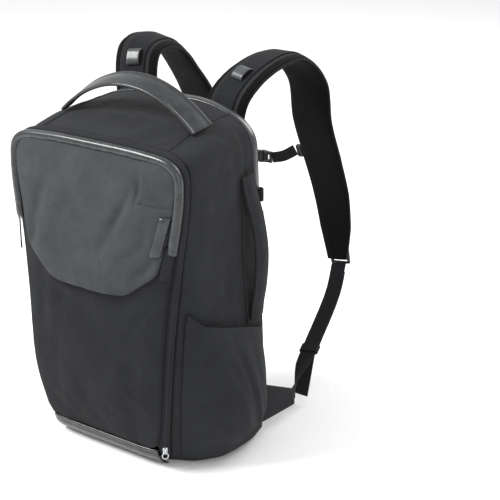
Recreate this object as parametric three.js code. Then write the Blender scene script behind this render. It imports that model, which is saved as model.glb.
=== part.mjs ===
import * as THREE from "three";

// Camera backpack, in millimetres: +X is the wearer's right, +Y points to the wearer and +Z is
// up. The origin is on the floor under the middle of the body.

// Body shell
const BODY_HEIGHT = 482;
const HALF_WIDTH = 150;
const BACK_Y = 90;
const TAPE_DEPTH = 20;
const SHELL_WALL = 7;
const SEPTUM_WALL = 5;
const SEAM_GAP = 0.4;

// Front panel, its flap and the bands round it
const PANEL_Y = -90;
const PANEL_WALL = 3;
const PANEL_BULGE = 13;
const FLAP_WALL = 2.5;
const FLAP_GAP = 1;
const FLAP_LIFT = 8;
const FLAP_INSET = 9;
const TAPE_WALL = 2;
const TRIM_WIDTH = 12;
const TRIM_HEIGHT = 5;
const TRIM_INSET = 1.5;
const TRIM_END_Z = 325;
const BASE_BAND_WALL = 2.5;
const FLOOR_GAP = 0.5;

// Side pockets and side handle
const POCKET_WALL = 2;
const POCKET_BULGE = { left: 34, right: 22 };
const POCKET_GAP = 1.6;
const POCKET_START = 6;
const POCKET_FLOOR_Z = 21;
const SIDE_HANDLE_TOP_Z = 398;
const SIDE_HANDLE_LENGTH = 206;
const SIDE_HANDLE_WIDTH = 28;
const SIDE_HANDLE_WALL = 8;
const SIDE_HANDLE_STAND = 15;
const SIDE_HANDLE_Y = 64;
const SIDE_TAB_Y = 84;
const SIDE_TAB_Z = 364;
const SIDE_TAB_WIDTH = 18;
const SIDE_TAB_REACH = 9;

// Top handle
const HANDLE_HALF_SPAN = 116;
const HANDLE_RISE = 50;
const HANDLE_WIDTH = 36;
const HANDLE_WALL = 5;
const HANDLE_Y = 2;
const HANDLE_TILT_DEG = 20;

// Back door and its pads
const DOOR_WALL = 8;
const DOOR_INSET = 5;
const PAD_WALL = 12;
const PAD_HEIGHT = 290;
const PAD_FOOT_Z = 62;
const CHANNEL_WIDTH = 34;
const PAD_MARGIN = 45;
const PAD_WIDTH = HALF_WIDTH - CHANNEL_WIDTH / 2 - PAD_MARGIN;

// Shoulder straps and their webbing
const STRAP_REACH = 245;
const STRAP_WIDTH = 67;
const STRAP_WALL = 13;
const RIBBED_WIDTH = 34;
const WEBBING_WIDTH = 25;
const WEBBING_WALL = 1.6;
const LOCK_WIDTH = 34;
const LOCK_HEIGHT = 24;
const LOCK_WALL = 5;
const LOCK_STAND = 1.9;
const TAIL_DROP = 62;
const TAIL_GAP = 1;
const KEEPER_LENGTH = 14;
const KEEPER_DEPTH = 10;
const WING_WALL = 3;
const WING_STAND = 2.5;
const WING_FOOT_Z = 20;
const WING_TOP_Z = 80;
const STERNUM_WIDTH = 17;
const STERNUM_SAG = 16;
const STERNUM_GAP = 4;
const BUCKLE_GAP = 2.4;
const BUCKLE_LENGTH = 30;
const BUCKLE_HEIGHT = 20;
const BUCKLE_WALL = 7;
const CLIP_WIDTH = 9;

// Zip sliders and pulls
const SLIDER_STAND = 2.9;
const SLIDER_WIDTH = 5;
const SLIDER_HEIGHT = 8;
const SLIDER_DEPTH = 5.5;
const TUNNEL = 2.4;
const PULL_BAR = 1.4;
const PULL_PLAY = 0.4;
const PULL_LENGTH = 15;
const SOFT_PULL_LENGTH = 50;
const SOFT_PULL_WIDTH = 13;
const SOFT_PULL_BAR = 2;
const FRONT_SLIDER_RIGHT_Z = 33;
const FRONT_SLIDER_LEFT_Z = 322;
const BACK_SLIDER_Z = 330;
const GARAGE_FOOT_Z = 322;
const GARAGE_LENGTH = 50;
const GARAGE_WIDTH = 13;
const GARAGE_WALL = 2;
const GARAGE_OUT = 2;

const axisX = new THREE.Vector3(1, 0, 0);
const axisY = new THREE.Vector3(0, 1, 0);
const axisZ = new THREE.Vector3(0, 0, 1);
const vec = (x, y, z) => new THREE.Vector3(x, y, z);
const lerp = THREE.MathUtils.lerp;

// Outlines of the body from the front rim (at 0) to the back rim (at 1): widths are shares of
// HALF_WIDTH and heights are shares of BODY_HEIGHT
const BODY_SECTIONS = [
  { at: 0.0, foot: 0.68, low: 0.8, waist: 0.87, shoulder: 0.975, crown: 0.942, drop: 0.016, corner: 0.44 },
  { at: 0.12, foot: 0.88, low: 0.95, waist: 0.955, shoulder: 0.985, crown: 0.953, drop: 0.02, corner: 0.56 },
  { at: 0.35, foot: 1.03, low: 1.05, waist: 0.995, shoulder: 0.99, crown: 0.973, drop: 0.028, corner: 0.5 },
  { at: 0.7, foot: 1.06, low: 1.06, waist: 0.99, shoulder: 0.975, crown: 0.99, drop: 0.04, corner: 0.42 },
  { at: 1.0, foot: 1.0, low: 1.02, waist: 0.98, shoulder: 0.95, crown: 1.0, drop: 0.055, corner: 0.38 },
];
const PANEL_SECTION = {
  floor: 0.064, foot: 0.65, low: 0.76, waist: 0.815, shoulder: 0.965, crown: 0.93, drop: 0.012, corner: 0.34,
};
// The front plane's depth at shares of BODY_HEIGHT, as shares of PANEL_Y
const FRONT_PROFILE = [
  { at: 0, depth: 0.78 }, { at: 0.045, depth: 0.89 }, { at: 0.1, depth: 0.97 },
  { at: 0.25, depth: 1.05 }, { at: 0.5, depth: 1.0 },
  { at: 0.75, depth: 0.92 }, { at: 1, depth: 0.87 },
];
const CORNER_HEIGHTS = { low: 0.21, waist: 0.5, shoulder: 0.82 };
const CORNER_STEPS = { foot: 3, low: 3, waist: 2, shoulder: 2, crown: 6, arch: 3 };

// Table rows are joined by smooth curves through them
function smoothRow(rows, at) {
  const last = rows.length - 1;
  let i = 0;
  while (i < last - 1 && at > rows[i + 1].at) i++;
  const t = THREE.MathUtils.clamp((at - rows[i].at) / (rows[i + 1].at - rows[i].at), 0, 1);
  const row = {};
  for (const key of Object.keys(rows[i])) {
    const [p0, p1, p2, p3] = [i - 1, i, i + 1, i + 2].map((k) => rows[THREE.MathUtils.clamp(k, 0, last)][key]);
    const [m1, m2] = [(p2 - p0) / 2, (p3 - p1) / 2];
    row[key] = p1 + t * (m1 + t * (3 * (p2 - p1) - 2 * m1 - m2 + t * (2 * (p1 - p2) + m1 + m2)));
  }
  return row;
}

// Half an outline from the bottom centre to the top centre, with each corner cut by a smooth arc
function halfOutline(corners) {
  const towards = (from, to, cut) => from.clone().lerp(to, Math.min(0.5, cut / from.distanceTo(to)));
  const points = [corners[0].at];
  for (let i = 1; i < corners.length - 1; i++) {
    const { at, cut, steps } = corners[i];
    const arc = new THREE.QuadraticBezierCurve(
      towards(at, corners[i - 1].at, cut), at, towards(at, corners[i + 1].at, cut));
    points.push(...arc.getPoints(steps));
  }
  points.push(corners.at(-1).at);
  return points;
}

function bodyHalf(section) {
  const at = (share, z) => new THREE.Vector2(share * HALF_WIDTH, z * BODY_HEIGHT);
  const { foot, low, waist, shoulder, crown, drop, corner } = section;
  const floor = section.floor ?? 0;
  return halfOutline([
    { at: at(0, floor) },
    { at: at(foot, floor), cut: 20, steps: CORNER_STEPS.foot },
    { at: at(low, CORNER_HEIGHTS.low), cut: 45, steps: CORNER_STEPS.low },
    { at: at(waist, CORNER_HEIGHTS.waist), cut: 50, steps: CORNER_STEPS.waist },
    { at: at(shoulder, CORNER_HEIGHTS.shoulder), cut: 30, steps: CORNER_STEPS.shoulder },
    { at: at(shoulder - 0.02, crown - drop), cut: corner * HALF_WIDTH, steps: CORNER_STEPS.crown },
    { at: at(shoulder / 2, crown), cut: 40, steps: CORNER_STEPS.arch },
    { at: at(0, crown) },
  ]);
}

const wholeOutline = (half) => [
  ...half,
  ...half.slice(1, -1).reverse().map((p) => new THREE.Vector2(-p.x, p.y)),
];

function insetOutline(outline, distance) {
  const count = outline.length;
  return outline.map((p, i) => {
    const along = outline[(i + 1) % count].clone().sub(outline[(i + count - 1) % count]).normalize();
    return new THREE.Vector2(p.x - along.y * distance, p.y + along.x * distance);
  });
}

// Largest x of a half outline at a height
function widthAt(half, z) {
  let widest = 0;
  for (let i = 1; i < half.length; i++) {
    const [a, b] = [half[i - 1], half[i]];
    if (Math.abs(a.y - b.y) < 1e-6 || (z - a.y) * (z - b.y) > 0) continue;
    widest = Math.max(widest, lerp(a.x, b.x, (z - a.y) / (b.y - a.y)));
  }
  return widest;
}

const panelY = (z) => PANEL_Y * smoothRow(FRONT_PROFILE, z / BODY_HEIGHT).depth;
const rimY = (z) => panelY(z) + TAPE_DEPTH;
const bodyY = (at, z) => lerp(rimY(z), BACK_Y, at);

function bodySideX(y, z) {
  const at = (y - rimY(z)) / (BACK_Y - rimY(z));
  return widthAt(bodyHalf(smoothRow(BODY_SECTIONS, at)), z);
}

function bodyRing(at, inset = 0, shift = 0) {
  const outline = wholeOutline(bodyHalf(smoothRow(BODY_SECTIONS, at)));
  return insetOutline(outline, inset).map((p) => vec(p.x, bodyY(at, p.y) + shift, p.y));
}

// One closed solid from points and triangles, turned to face out
function solid(points, faces) {
  let volume = 0;
  for (const [a, b, c] of faces) volume += points[a].dot(points[b].clone().cross(points[c]));
  const outward = volume < 0 ? faces.map(([a, b, c]) => [a, c, b]) : faces;
  const geometry = new THREE.BufferGeometry();
  geometry.setAttribute("position", new THREE.Float32BufferAttribute(points.flatMap((p) => p.toArray()), 3));
  geometry.setIndex(outward.flat());
  geometry.computeVertexNormals();
  return geometry;
}

// Skin through rings of equal length, closed at its ends by a fan, by a strip across a flat ring, or
// by running on into its first ring
function loft(rings, ends = "fan") {
  const count = rings[0].length;
  const points = rings.flat().map((p) => p.clone());
  const faces = [];
  const bands = ends === "loop" ? rings.length : rings.length - 1;
  for (let r = 0; r < bands; r++) {
    const next = (r + 1) % rings.length;
    for (let i = 0; i < count; i++) {
      const j = (i + 1) % count;
      faces.push([r * count + i, r * count + j, next * count + j]);
      faces.push([r * count + i, next * count + j, next * count + i]);
    }
  }
  if (ends === "loop") return solid(points, faces);
  for (const [first, flip] of [[0, true], [(rings.length - 1) * count, false]]) {
    const cap = [];
    if (ends === "fan") {
      const centre = points.slice(first, first + count).reduce((sum, p) => sum.add(p), vec(0, 0, 0));
      points.push(centre.divideScalar(count));
      for (let i = 0; i < count; i++) cap.push([first + i, first + ((i + 1) % count), points.length - 1]);
    } else {
      for (let i = 0; i < count / 2 - 1; i++) {
        const [a, b, c, d] = [i, i + 1, count - 2 - i, count - 1 - i].map((k) => first + k);
        cap.push([a, b, c], [a, c, d]);
      }
    }
    faces.push(...(flip ? cap.map(([a, b, c]) => [a, c, b]) : cap));
  }
  return solid(points, faces);
}

// Cloth wall between an outer grid of rows and the same grid moved in by its thickness
const wall = (rows, inward) =>
  loft(rows.map((row) => [...row, ...row.map((p) => inward(p)).reverse()]), "strip");

// Flat band along frames of point, width direction and face direction
const bandSection = (width, thick, edge = 0.3 * thick) => [
  [-width / 2, -thick / 2 + edge], [-width / 2 + edge, -thick / 2], [width / 2 - edge, -thick / 2],
  [width / 2, -thick / 2 + edge], [width / 2, thick / 2 - edge], [width / 2 - edge, thick / 2],
  [-width / 2 + edge, thick / 2], [-width / 2, thick / 2 - edge],
];
const sweep = (frames, sectionAt) =>
  loft(frames.map((f, i) => sectionAt(f, i).map(([a, b]) =>
    f.point.clone().addScaledVector(f.across, a).addScaledVector(f.face, b))));

// Frames along a smooth route through table rows; twist turns the width about the route
function routeFrames(rows, steps, widthAxis = axisX) {
  const curve = new THREE.CatmullRomCurve3(rows.map((row) => row.point), false, "centripetal");
  return Array.from({ length: steps + 1 }, (_, i) => {
    const t = i / steps;
    const k = Math.min(rows.length - 2, Math.floor(t * (rows.length - 1)));
    const part = t * (rows.length - 1) - k;
    const value = (key, other = 0) => lerp(rows[k][key] ?? other, rows[k + 1][key] ?? other, part);
    const along = curve.getTangent(t);
    const across = widthAxis.clone().addScaledVector(along, -widthAxis.dot(along)).normalize();
    across.applyAxisAngle(along, THREE.MathUtils.degToRad(value("twist")));
    return { point: curve.getPoint(t), along, across, face: along.clone().cross(across), value, t };
  });
}

// Finishes
const finish = (color, roughness, metalness = 0) =>
  new THREE.MeshStandardMaterial({ color, roughness, metalness });
const canvas = finish(0x3c3d40, 0.9);
const flapCanvas = finish(0x4d4d50, 0.9);
const coated = finish(0x55585c, 0.35);
const tapeCloth = finish(0x2c2d2f, 0.8);
const airMesh = finish(0x1a1a1c, 0.95);
const webbingCloth = finish(0x1f2022, 0.85);
const plastic = finish(0x17181a, 0.45);
const rubber = finish(0x222325, 0.6);
const steel = finish(0xb9bbbe, 0.3, 1);

const rectangle = (width, height) => new THREE.Shape([
  [-1, -1], [1, -1], [1, 1], [-1, 1]].map(([x, y]) => new THREE.Vector2((x * width) / 2, (y * height) / 2)));

const bag = new THREE.Group();
function piece(name, geometry, material) {
  const mesh = new THREE.Mesh(geometry, material.clone());
  mesh.name = name;
  bag.add(mesh);
  return mesh;
}

// A piece made flat, then stood with its x and y along two directions at a point
function placed(name, geometry, material, x, y, at) {
  const mesh = piece(name, geometry, material);
  const tall = y.clone().addScaledVector(x, -x.dot(y)).normalize();
  mesh.matrix.makeBasis(x, tall, x.clone().cross(tall)).setPosition(at);
  mesh.matrix.decompose(mesh.position, mesh.quaternion, mesh.scale);
  return mesh;
}

// Body shell: padded walls round a camera compartment open at the back and a shallow front one
const SHELL_STATIONS = [0, 0.05, 0.1, 0.18, 0.3, 0.45, 0.6, 0.75, 0.9, 1];
const SEPTUM_AT = 0.14;
const SEPTUM_SHARE = SEPTUM_WALL / (BACK_Y - PANEL_Y - TAPE_DEPTH);
piece("body_shell", loft([
  bodyRing(SEPTUM_AT, SHELL_WALL),
  bodyRing(0, SHELL_WALL),
  ...SHELL_STATIONS.map((at) => bodyRing(at)),
  ...[1, 0.75, 0.5, 0.25, SEPTUM_AT + SEPTUM_SHARE].map((at) => bodyRing(at, SHELL_WALL)),
]), canvas);

// Front panel: one padded cloth shell, puffed out between its edges
const panelHalf = bodyHalf(PANEL_SECTION);
const panelOutline = wholeOutline(panelHalf);
const PANEL_MIDDLE_Z = 0.5 * BODY_HEIGHT;
const PANEL_RINGS = [1, 0.985, 0.93, 0.82, 0.66, 0.46, 0.22];
const puff = (share, power) => 1 - Math.pow(Math.min(1, Math.abs(share)), power);
function panelFaceY(x, z) {
  const halfHeight = ((PANEL_SECTION.crown - PANEL_SECTION.floor) * BODY_HEIGHT) / 2;
  const middle = PANEL_SECTION.floor * BODY_HEIGHT + halfHeight;
  const across = puff(x / Math.max(1, widthAt(panelHalf, z)), 3.2);
  return panelY(z) - PANEL_BULGE * across * puff((z - middle) / halfHeight, 4);
}
function panelRing(share, back) {
  return panelOutline.map((p) => {
    const [x, z] = [p.x * share, lerp(PANEL_MIDDLE_Z, p.y, share)];
    return vec(x, (share < 1 ? panelFaceY(x, z) : panelY(z)) + back, z);
  });
}
piece("front_panel", loft([
  ...[...PANEL_RINGS].reverse().map((share) => panelRing(share, PANEL_WALL)),
  ...PANEL_RINGS.map((share) => panelRing(share, 0)),
]), canvas);

// Front flap: the upper pocket layer, with a straight lower edge between two slanting ones
const FLAP_EDGE = { low: 0.535, flat: 0.44, rise: 0.075, out: 0.76 };
const FLAP_DENTS = [
  { x: 0.56, z: 0.79, depth: 0.55, wide: 0.05, tall: 0.07 },
  { x: 0.72, z: 0.74, depth: 0.35, wide: 0.12, tall: 0.05 },
  { x: -0.8, z: 0.79, depth: 0.4, wide: 0.08, tall: 0.04 },
  { x: 0.3, z: 0.66, depth: 0.22, wide: 0.07, tall: 0.1 },
  { x: 0.62, z: 0.62, depth: 0.3, wide: 0.08, tall: 0.07 },
  { x: -0.62, z: 0.62, depth: 0.25, wide: 0.1, tall: 0.06 },
];
const inner = PANEL_SECTION.shoulder - FLAP_INSET / HALF_WIDTH;
const flapAt = (x, z) => new THREE.Vector2(x * HALF_WIDTH, z * BODY_HEIGHT);
const flapTop = PANEL_SECTION.crown - FLAP_INSET / BODY_HEIGHT;
const flapOutline = wholeOutline(halfOutline([
  { at: flapAt(0, FLAP_EDGE.low) },
  { at: flapAt(FLAP_EDGE.flat, FLAP_EDGE.low), cut: 10, steps: 2 },
  { at: flapAt(FLAP_EDGE.out, FLAP_EDGE.low + FLAP_EDGE.rise), cut: 10, steps: 2 },
  { at: flapAt(inner, CORNER_HEIGHTS.shoulder), cut: 30, steps: 2 },
  { at: flapAt(inner - 0.02, flapTop - PANEL_SECTION.drop), cut: 30, steps: 4 },
  { at: flapAt(inner / 2, flapTop), cut: 30, steps: 2 },
  { at: flapAt(0, flapTop) },
]));
const FLAP_MIDDLE_Z = 0.72 * BODY_HEIGHT;
const FLAP_RINGS = [1, 0.97, 0.85, 0.68, 0.48, 0.26];
function flapFaceY(x, z, share) {
  const dent = FLAP_DENTS.reduce((sum, d) => sum + d.depth * Math.exp(
    -(((x / HALF_WIDTH - d.x) / d.wide) ** 2) - ((z / BODY_HEIGHT - d.z) / d.tall) ** 2), 0);
  const lift = FLAP_LIFT * puff(share, 3) * Math.max(0.1, 1 - dent);
  return panelFaceY(x, z) - FLAP_GAP - FLAP_WALL - lift;
}
function flapRing(share, back) {
  return flapOutline.map((p) => {
    const [x, z] = [p.x * share, lerp(FLAP_MIDDLE_Z, p.y, share)];
    return vec(x, flapFaceY(x, z, share) + back, z);
  });
}
piece("front_flap", loft([
  ...[...FLAP_RINGS].reverse().map((share) => flapRing(share, FLAP_WALL)),
  ...FLAP_RINGS.map((share) => flapRing(share, 0)),
]), flapCanvas);

// Points of an outline from the lower left over the top to the lower right, which start where another
// outline of the same points passes a height
function overTop(outline, lowest, like = outline) {
  const half = outline.slice(0, outline.length / 2 + 1);
  const start = Math.max(1, like.findIndex((p) => p.y > lowest));
  const share = (lowest - like[start - 1].y) / (like[start].y - like[start - 1].y);
  const first = half[start - 1].clone().lerp(half[start], share);
  const right = [first, ...half.slice(start)];
  const left = right.slice(0, -1).map((p) => new THREE.Vector2(-p.x, p.y));
  return [...left, ...right.reverse()];
}

// Zipper tape: a ridged band from the body rim to the edge of the front panel
const TAPE_FOOT_Z = 10;
const rimOutline = wholeOutline(bodyHalf(BODY_SECTIONS[0]));
const tapeOuter = overTop(insetOutline(rimOutline, 1), TAPE_FOOT_Z);
const tapeInner = overTop(insetOutline(panelOutline, -SEAM_GAP), TAPE_FOOT_Z, insetOutline(rimOutline, 1));
function bridgeRings(outer, innerEdge, outerY, innerY, thick, ridge) {
  const count = Math.min(outer.length, innerEdge.length);
  return Array.from({ length: count }, (_, i) => {
    const from = vec(outer[i].x, outerY(outer[i].y), outer[i].y);
    const to = vec(innerEdge[i].x, innerY(innerEdge[i].y), innerEdge[i].y);
    const next = Math.min(i + 1, count - 1);
    const last = Math.max(i - 1, 0);
    const along = vec(outer[next].x - outer[last].x, 0, outer[next].y - outer[last].y).normalize();
    const normal = along.cross(to.clone().sub(from)).normalize();
    if (normal.y > 0) normal.negate();
    const lift = (p, height) => p.clone().addScaledVector(normal, height);
    const part = (share) => from.clone().lerp(to, share);
    return [from, part(0.32), part(0.68), to, lift(to, thick), lift(part(0.68), thick + ridge),
      lift(part(0.32), thick + ridge), lift(from, thick)];
  });
}
piece("front_zipper_tape", loft(
  bridgeRings(tapeOuter, tapeInner, (z) => rimY(z) - SEAM_GAP, (z) => panelY(z) + PANEL_WALL, TAPE_WALL, 0.8),
  "strip"), tapeCloth);

// Coated trim that stands on the upper edge of the front panel
const trimPath = overTop(insetOutline(panelOutline, TRIM_INSET), TRIM_END_Z);
piece("front_trim", loft(trimPath.map((p, i) => {
  const [a, b] = [trimPath[Math.max(0, i - 1)], trimPath[Math.min(trimPath.length - 1, i + 1)]];
  const along = vec(b.x - a.x, 0, b.y - a.y).normalize();
  const out = along.clone().cross(axisY);
  if (out.dot(vec(p.x, 0, p.y - PANEL_MIDDLE_Z)) < 0) out.negate();
  const half = TRIM_WIDTH / 2;
  return [[-half, 1.2], [-half, 0], [0, 0], [half, 0], [half + 0.5, 1.5], [half - 1, TRIM_HEIGHT * 0.9],
    [0, TRIM_HEIGHT], [-half + 1.5, TRIM_HEIGHT * 0.7]].map(([a2, b2]) => {
    const [x, z] = [p.x + out.x * a2, p.y + out.z * a2];
    const onPanel = Math.min(panelFaceY(x, z), panelY(z));
    return vec(x, onPanel - SEAM_GAP - b2, z);
  });
})), coated);

// Coated base band under the front panel
const BAND_SECTION = [
  { up: 1, out: 0 }, { up: 0.75, out: 2.2 }, { up: 0.45, out: 1.8 }, { up: 0.16, out: -3 }, { up: 0, out: -14 },
];
const bandHalf = PANEL_SECTION.foot * HALF_WIDTH - 2;
const BASE_BAND_TOP = PANEL_SECTION.floor * BODY_HEIGHT - SEAM_GAP;
const BAND_STEPS = 14;
piece("base_band", wall(Array.from({ length: BAND_STEPS + 1 }, (_, i) => {
  const share = (2 * i) / BAND_STEPS - 1;
  const droop = 1 - 0.25 * Math.pow(Math.abs(share), 4);
  return BAND_SECTION.map(({ up, out }) => {
    const z = FLOOR_GAP + up * (BASE_BAND_TOP - FLOOR_GAP);
    return vec(share * bandHalf, panelY(z) - out * droop + 3 * Math.pow(Math.abs(share), 6), z);
  });
}), (p) => vec(p.x, p.y + BASE_BAND_WALL, p.z + (p.z < BASE_BAND_TOP / 4 ? BASE_BAND_WALL : 0))), coated);

// Side pockets: open at the hem, sewn to the body along the other three edges
const POCKET_HEM = [
  { at: 0, z: 0.49 }, { at: 0.12, z: 0.452 }, { at: 0.3, z: 0.432 }, { at: 0.65, z: 0.4 }, { at: 1, z: 0.365 },
];
const POCKET_SECTIONS = [
  { at: 0, low: 0, middle: 0, hem: 0 },
  { at: 0.2, low: 0.5, middle: 0.62, hem: 0.22 },
  { at: 0.45, low: 0.6, middle: 0.95, hem: 0.42 },
  { at: 0.7, low: 0.6, middle: 1.0, hem: 0.55 },
  { at: 0.88, low: 0.6, middle: 0.75, hem: 0.45 },
  { at: 1, low: 0, middle: 0, hem: 0 },
];
const POCKET_DENTS = [
  { along: 0.3, up: 0.4, depth: 0.2, wide: 0.1, tall: 0.12, slant: 0.5 },
  { along: 0.55, up: 0.22, depth: 0.26, wide: 0.09, tall: 0.1, slant: -0.8 },
  { along: 0.8, up: 0.3, depth: 0.22, wide: 0.07, tall: 0.09, slant: -0.5 },
  { along: 0.42, up: 0.7, depth: 0.14, wide: 0.06, tall: 0.2, slant: 0.4 },
];
const POCKET_COLUMNS = 12;
const POCKET_ROWS = 11;
function pocketWall(side, fullness) {
  const rows = Array.from({ length: POCKET_ROWS + 1 }, (_, r) => {
    const up = r / POCKET_ROWS;
    return Array.from({ length: POCKET_COLUMNS + 1 }, (_, c) => {
      const along = c / POCKET_COLUMNS;
      const z = lerp(POCKET_FLOOR_Z, smoothRow(POCKET_HEM, along).z * BODY_HEIGHT, up);
      const y = lerp(rimY(z) + POCKET_START, BACK_Y - POCKET_START, along);
      const { low, middle, hem } = smoothRow(POCKET_SECTIONS, along);
      const rise = smoothRow([
        { at: 0, out: 0 }, { at: 0.18, out: low }, { at: 0.5, out: middle }, { at: 1, out: hem }], up).out;
      const dent = POCKET_DENTS.reduce((sum, d) => sum + d.depth * Math.exp(
        -(((along - d.along - d.slant * (up - d.up)) / d.wide) ** 2) - ((up - d.up) / d.tall) ** 2), 0);
      const bulge = fullness * Math.max(0, rise) * (1 - dent);
      return vec(side * (bodySideX(y, z) + POCKET_GAP + POCKET_WALL + bulge), y, z);
    });
  });
  return wall(rows, (p) => vec(p.x - side * POCKET_WALL, p.y, p.z));
}
piece("side_pocket_left", pocketWall(-1, POCKET_BULGE.left), canvas);
piece("side_pocket_right", pocketWall(1, POCKET_BULGE.right), canvas);

// Side handle on the right, padded and standing off the body
const SIDE_HANDLE_ROUTE = [
  { down: 0, stand: 0, y: -0.3 }, { down: 0.1, stand: 0.12, y: -0.25 }, { down: 0.3, stand: 0.7, y: -0.1 },
  { down: 0.52, stand: 1, y: 0 }, { down: 0.75, stand: 0.65, y: 0.1 }, { down: 0.92, stand: 0.12, y: 0.15 },
  { down: 1, stand: 0, y: 0.15 },
].map(({ down, stand, y }) => {
  const z = SIDE_HANDLE_TOP_Z - down * SIDE_HANDLE_LENGTH;
  const centreY = SIDE_HANDLE_Y + y * SIDE_HANDLE_WIDTH;
  const clear = SEAM_GAP + 0.8 + SIDE_HANDLE_WALL / 2;
  return { point: vec(bodySideX(centreY, z) + clear + stand * SIDE_HANDLE_STAND, centreY, z) };
});
piece("side_handle", sweep(routeFrames(SIDE_HANDLE_ROUTE, 14, axisY),
  () => bandSection(SIDE_HANDLE_WIDTH, SIDE_HANDLE_WALL, 2)), canvas);

// Top handle: an arched band sewn to the top panel near the side seams
const HANDLE_ROUTE = [-1, -0.82, -0.55, -0.2, 0.2, 0.55, 0.82, 1];
function topZ(x, y) {
  const half = bodyHalf(smoothRow(BODY_SECTIONS, (y - rimY(BODY_HEIGHT)) / (BACK_Y - rimY(BODY_HEIGHT))));
  for (let i = half.length - 1; i > 0; i--) {
    if (half[i - 1].x >= Math.abs(x)) {
      return lerp(half[i].y, half[i - 1].y, (Math.abs(x) - half[i].x) / (half[i - 1].x - half[i].x));
    }
  }
  return 0;
}
const handleFoot = topZ(HANDLE_HALF_SPAN, HANDLE_Y + HANDLE_WIDTH / 2) + SEAM_GAP + HANDLE_WALL * 0.6;
const handleTurn = axisY.clone().applyAxisAngle(axisX, THREE.MathUtils.degToRad(HANDLE_TILT_DEG));
const handleFrames = routeFrames(HANDLE_ROUTE.map((share) => ({
  point: vec(share * HANDLE_HALF_SPAN, HANDLE_Y, handleFoot + HANDLE_RISE * (1 - Math.pow(Math.abs(share), 2.1))),
})), 20, handleTurn);
piece("top_handle", sweep(handleFrames, () => bandSection(HANDLE_WIDTH, HANDLE_WALL, 1.6)), coated);

// Back zipper tape and the padded back door that closes the camera compartment
const backOutline = wholeOutline(bodyHalf(BODY_SECTIONS.at(-1)));
const doorOutline = insetOutline(backOutline, DOOR_INSET);
const BACK_TAPE_FOOT_Z = 46;
piece("back_zipper_tape", loft(overTop(insetOutline(backOutline, 0.6), BACK_TAPE_FOOT_Z).map((p, i, path) => {
  const edge = overTop(insetOutline(backOutline, DOOR_INSET - SEAM_GAP), BACK_TAPE_FOOT_Z)[i];
  const from = vec(p.x, BACK_Y + SEAM_GAP, p.y);
  const to = vec(edge.x, BACK_Y + SEAM_GAP, edge.y);
  return [from, to, vec(to.x, to.y + 6, to.z), from.clone().lerp(to, 0.6).add(vec(0, 5.4, 0)),
    from.clone().lerp(to, 0.3).add(vec(0, 3.2, 0)), from.clone().add(vec(0, 1.4, 0))];
})), tapeCloth);
const doorY = BACK_Y + SEAM_GAP;
const doorBack = doorY + DOOR_WALL;
const DOOR_MIDDLE_Z = 0.5 * BODY_HEIGHT;
const doorRing = (share, y) =>
  doorOutline.map((p) => vec(p.x * share, y, lerp(DOOR_MIDDLE_Z, p.y, share)));
piece("back_door", loft([doorRing(0.9, doorY), doorRing(1, doorY), doorRing(1, doorBack - 3),
  doorRing(0.985, doorBack - 0.8), doorRing(0.95, doorBack)]), canvas);

// Back pads of air mesh, either side of the air channel
const PAD_ROWS = 8;
const PAD_COLUMNS = 6;
function backPad(side) {
  const rows = Array.from({ length: PAD_ROWS + 1 }, (_, r) => {
    const up = r / PAD_ROWS;
    return Array.from({ length: PAD_COLUMNS + 1 }, (_, c) => {
      const across = c / PAD_COLUMNS;
      const full = puff(2 * up - 1, 4) * puff(2 * across - 1, 4);
      const x = CHANNEL_WIDTH / 2 + across * PAD_WIDTH * (1 - 0.12 * Math.pow(2 * up - 1, 4));
      return vec(side * x, doorBack + SEAM_GAP + 2 + (PAD_WALL - 2) * full, PAD_FOOT_Z + up * PAD_HEIGHT);
    });
  });
  return wall(rows, (p) => vec(p.x, doorBack + SEAM_GAP, p.z));
}
piece("back_pad_left", backPad(-1), airMesh);
piece("back_pad_right", backPad(1), airMesh);

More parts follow.
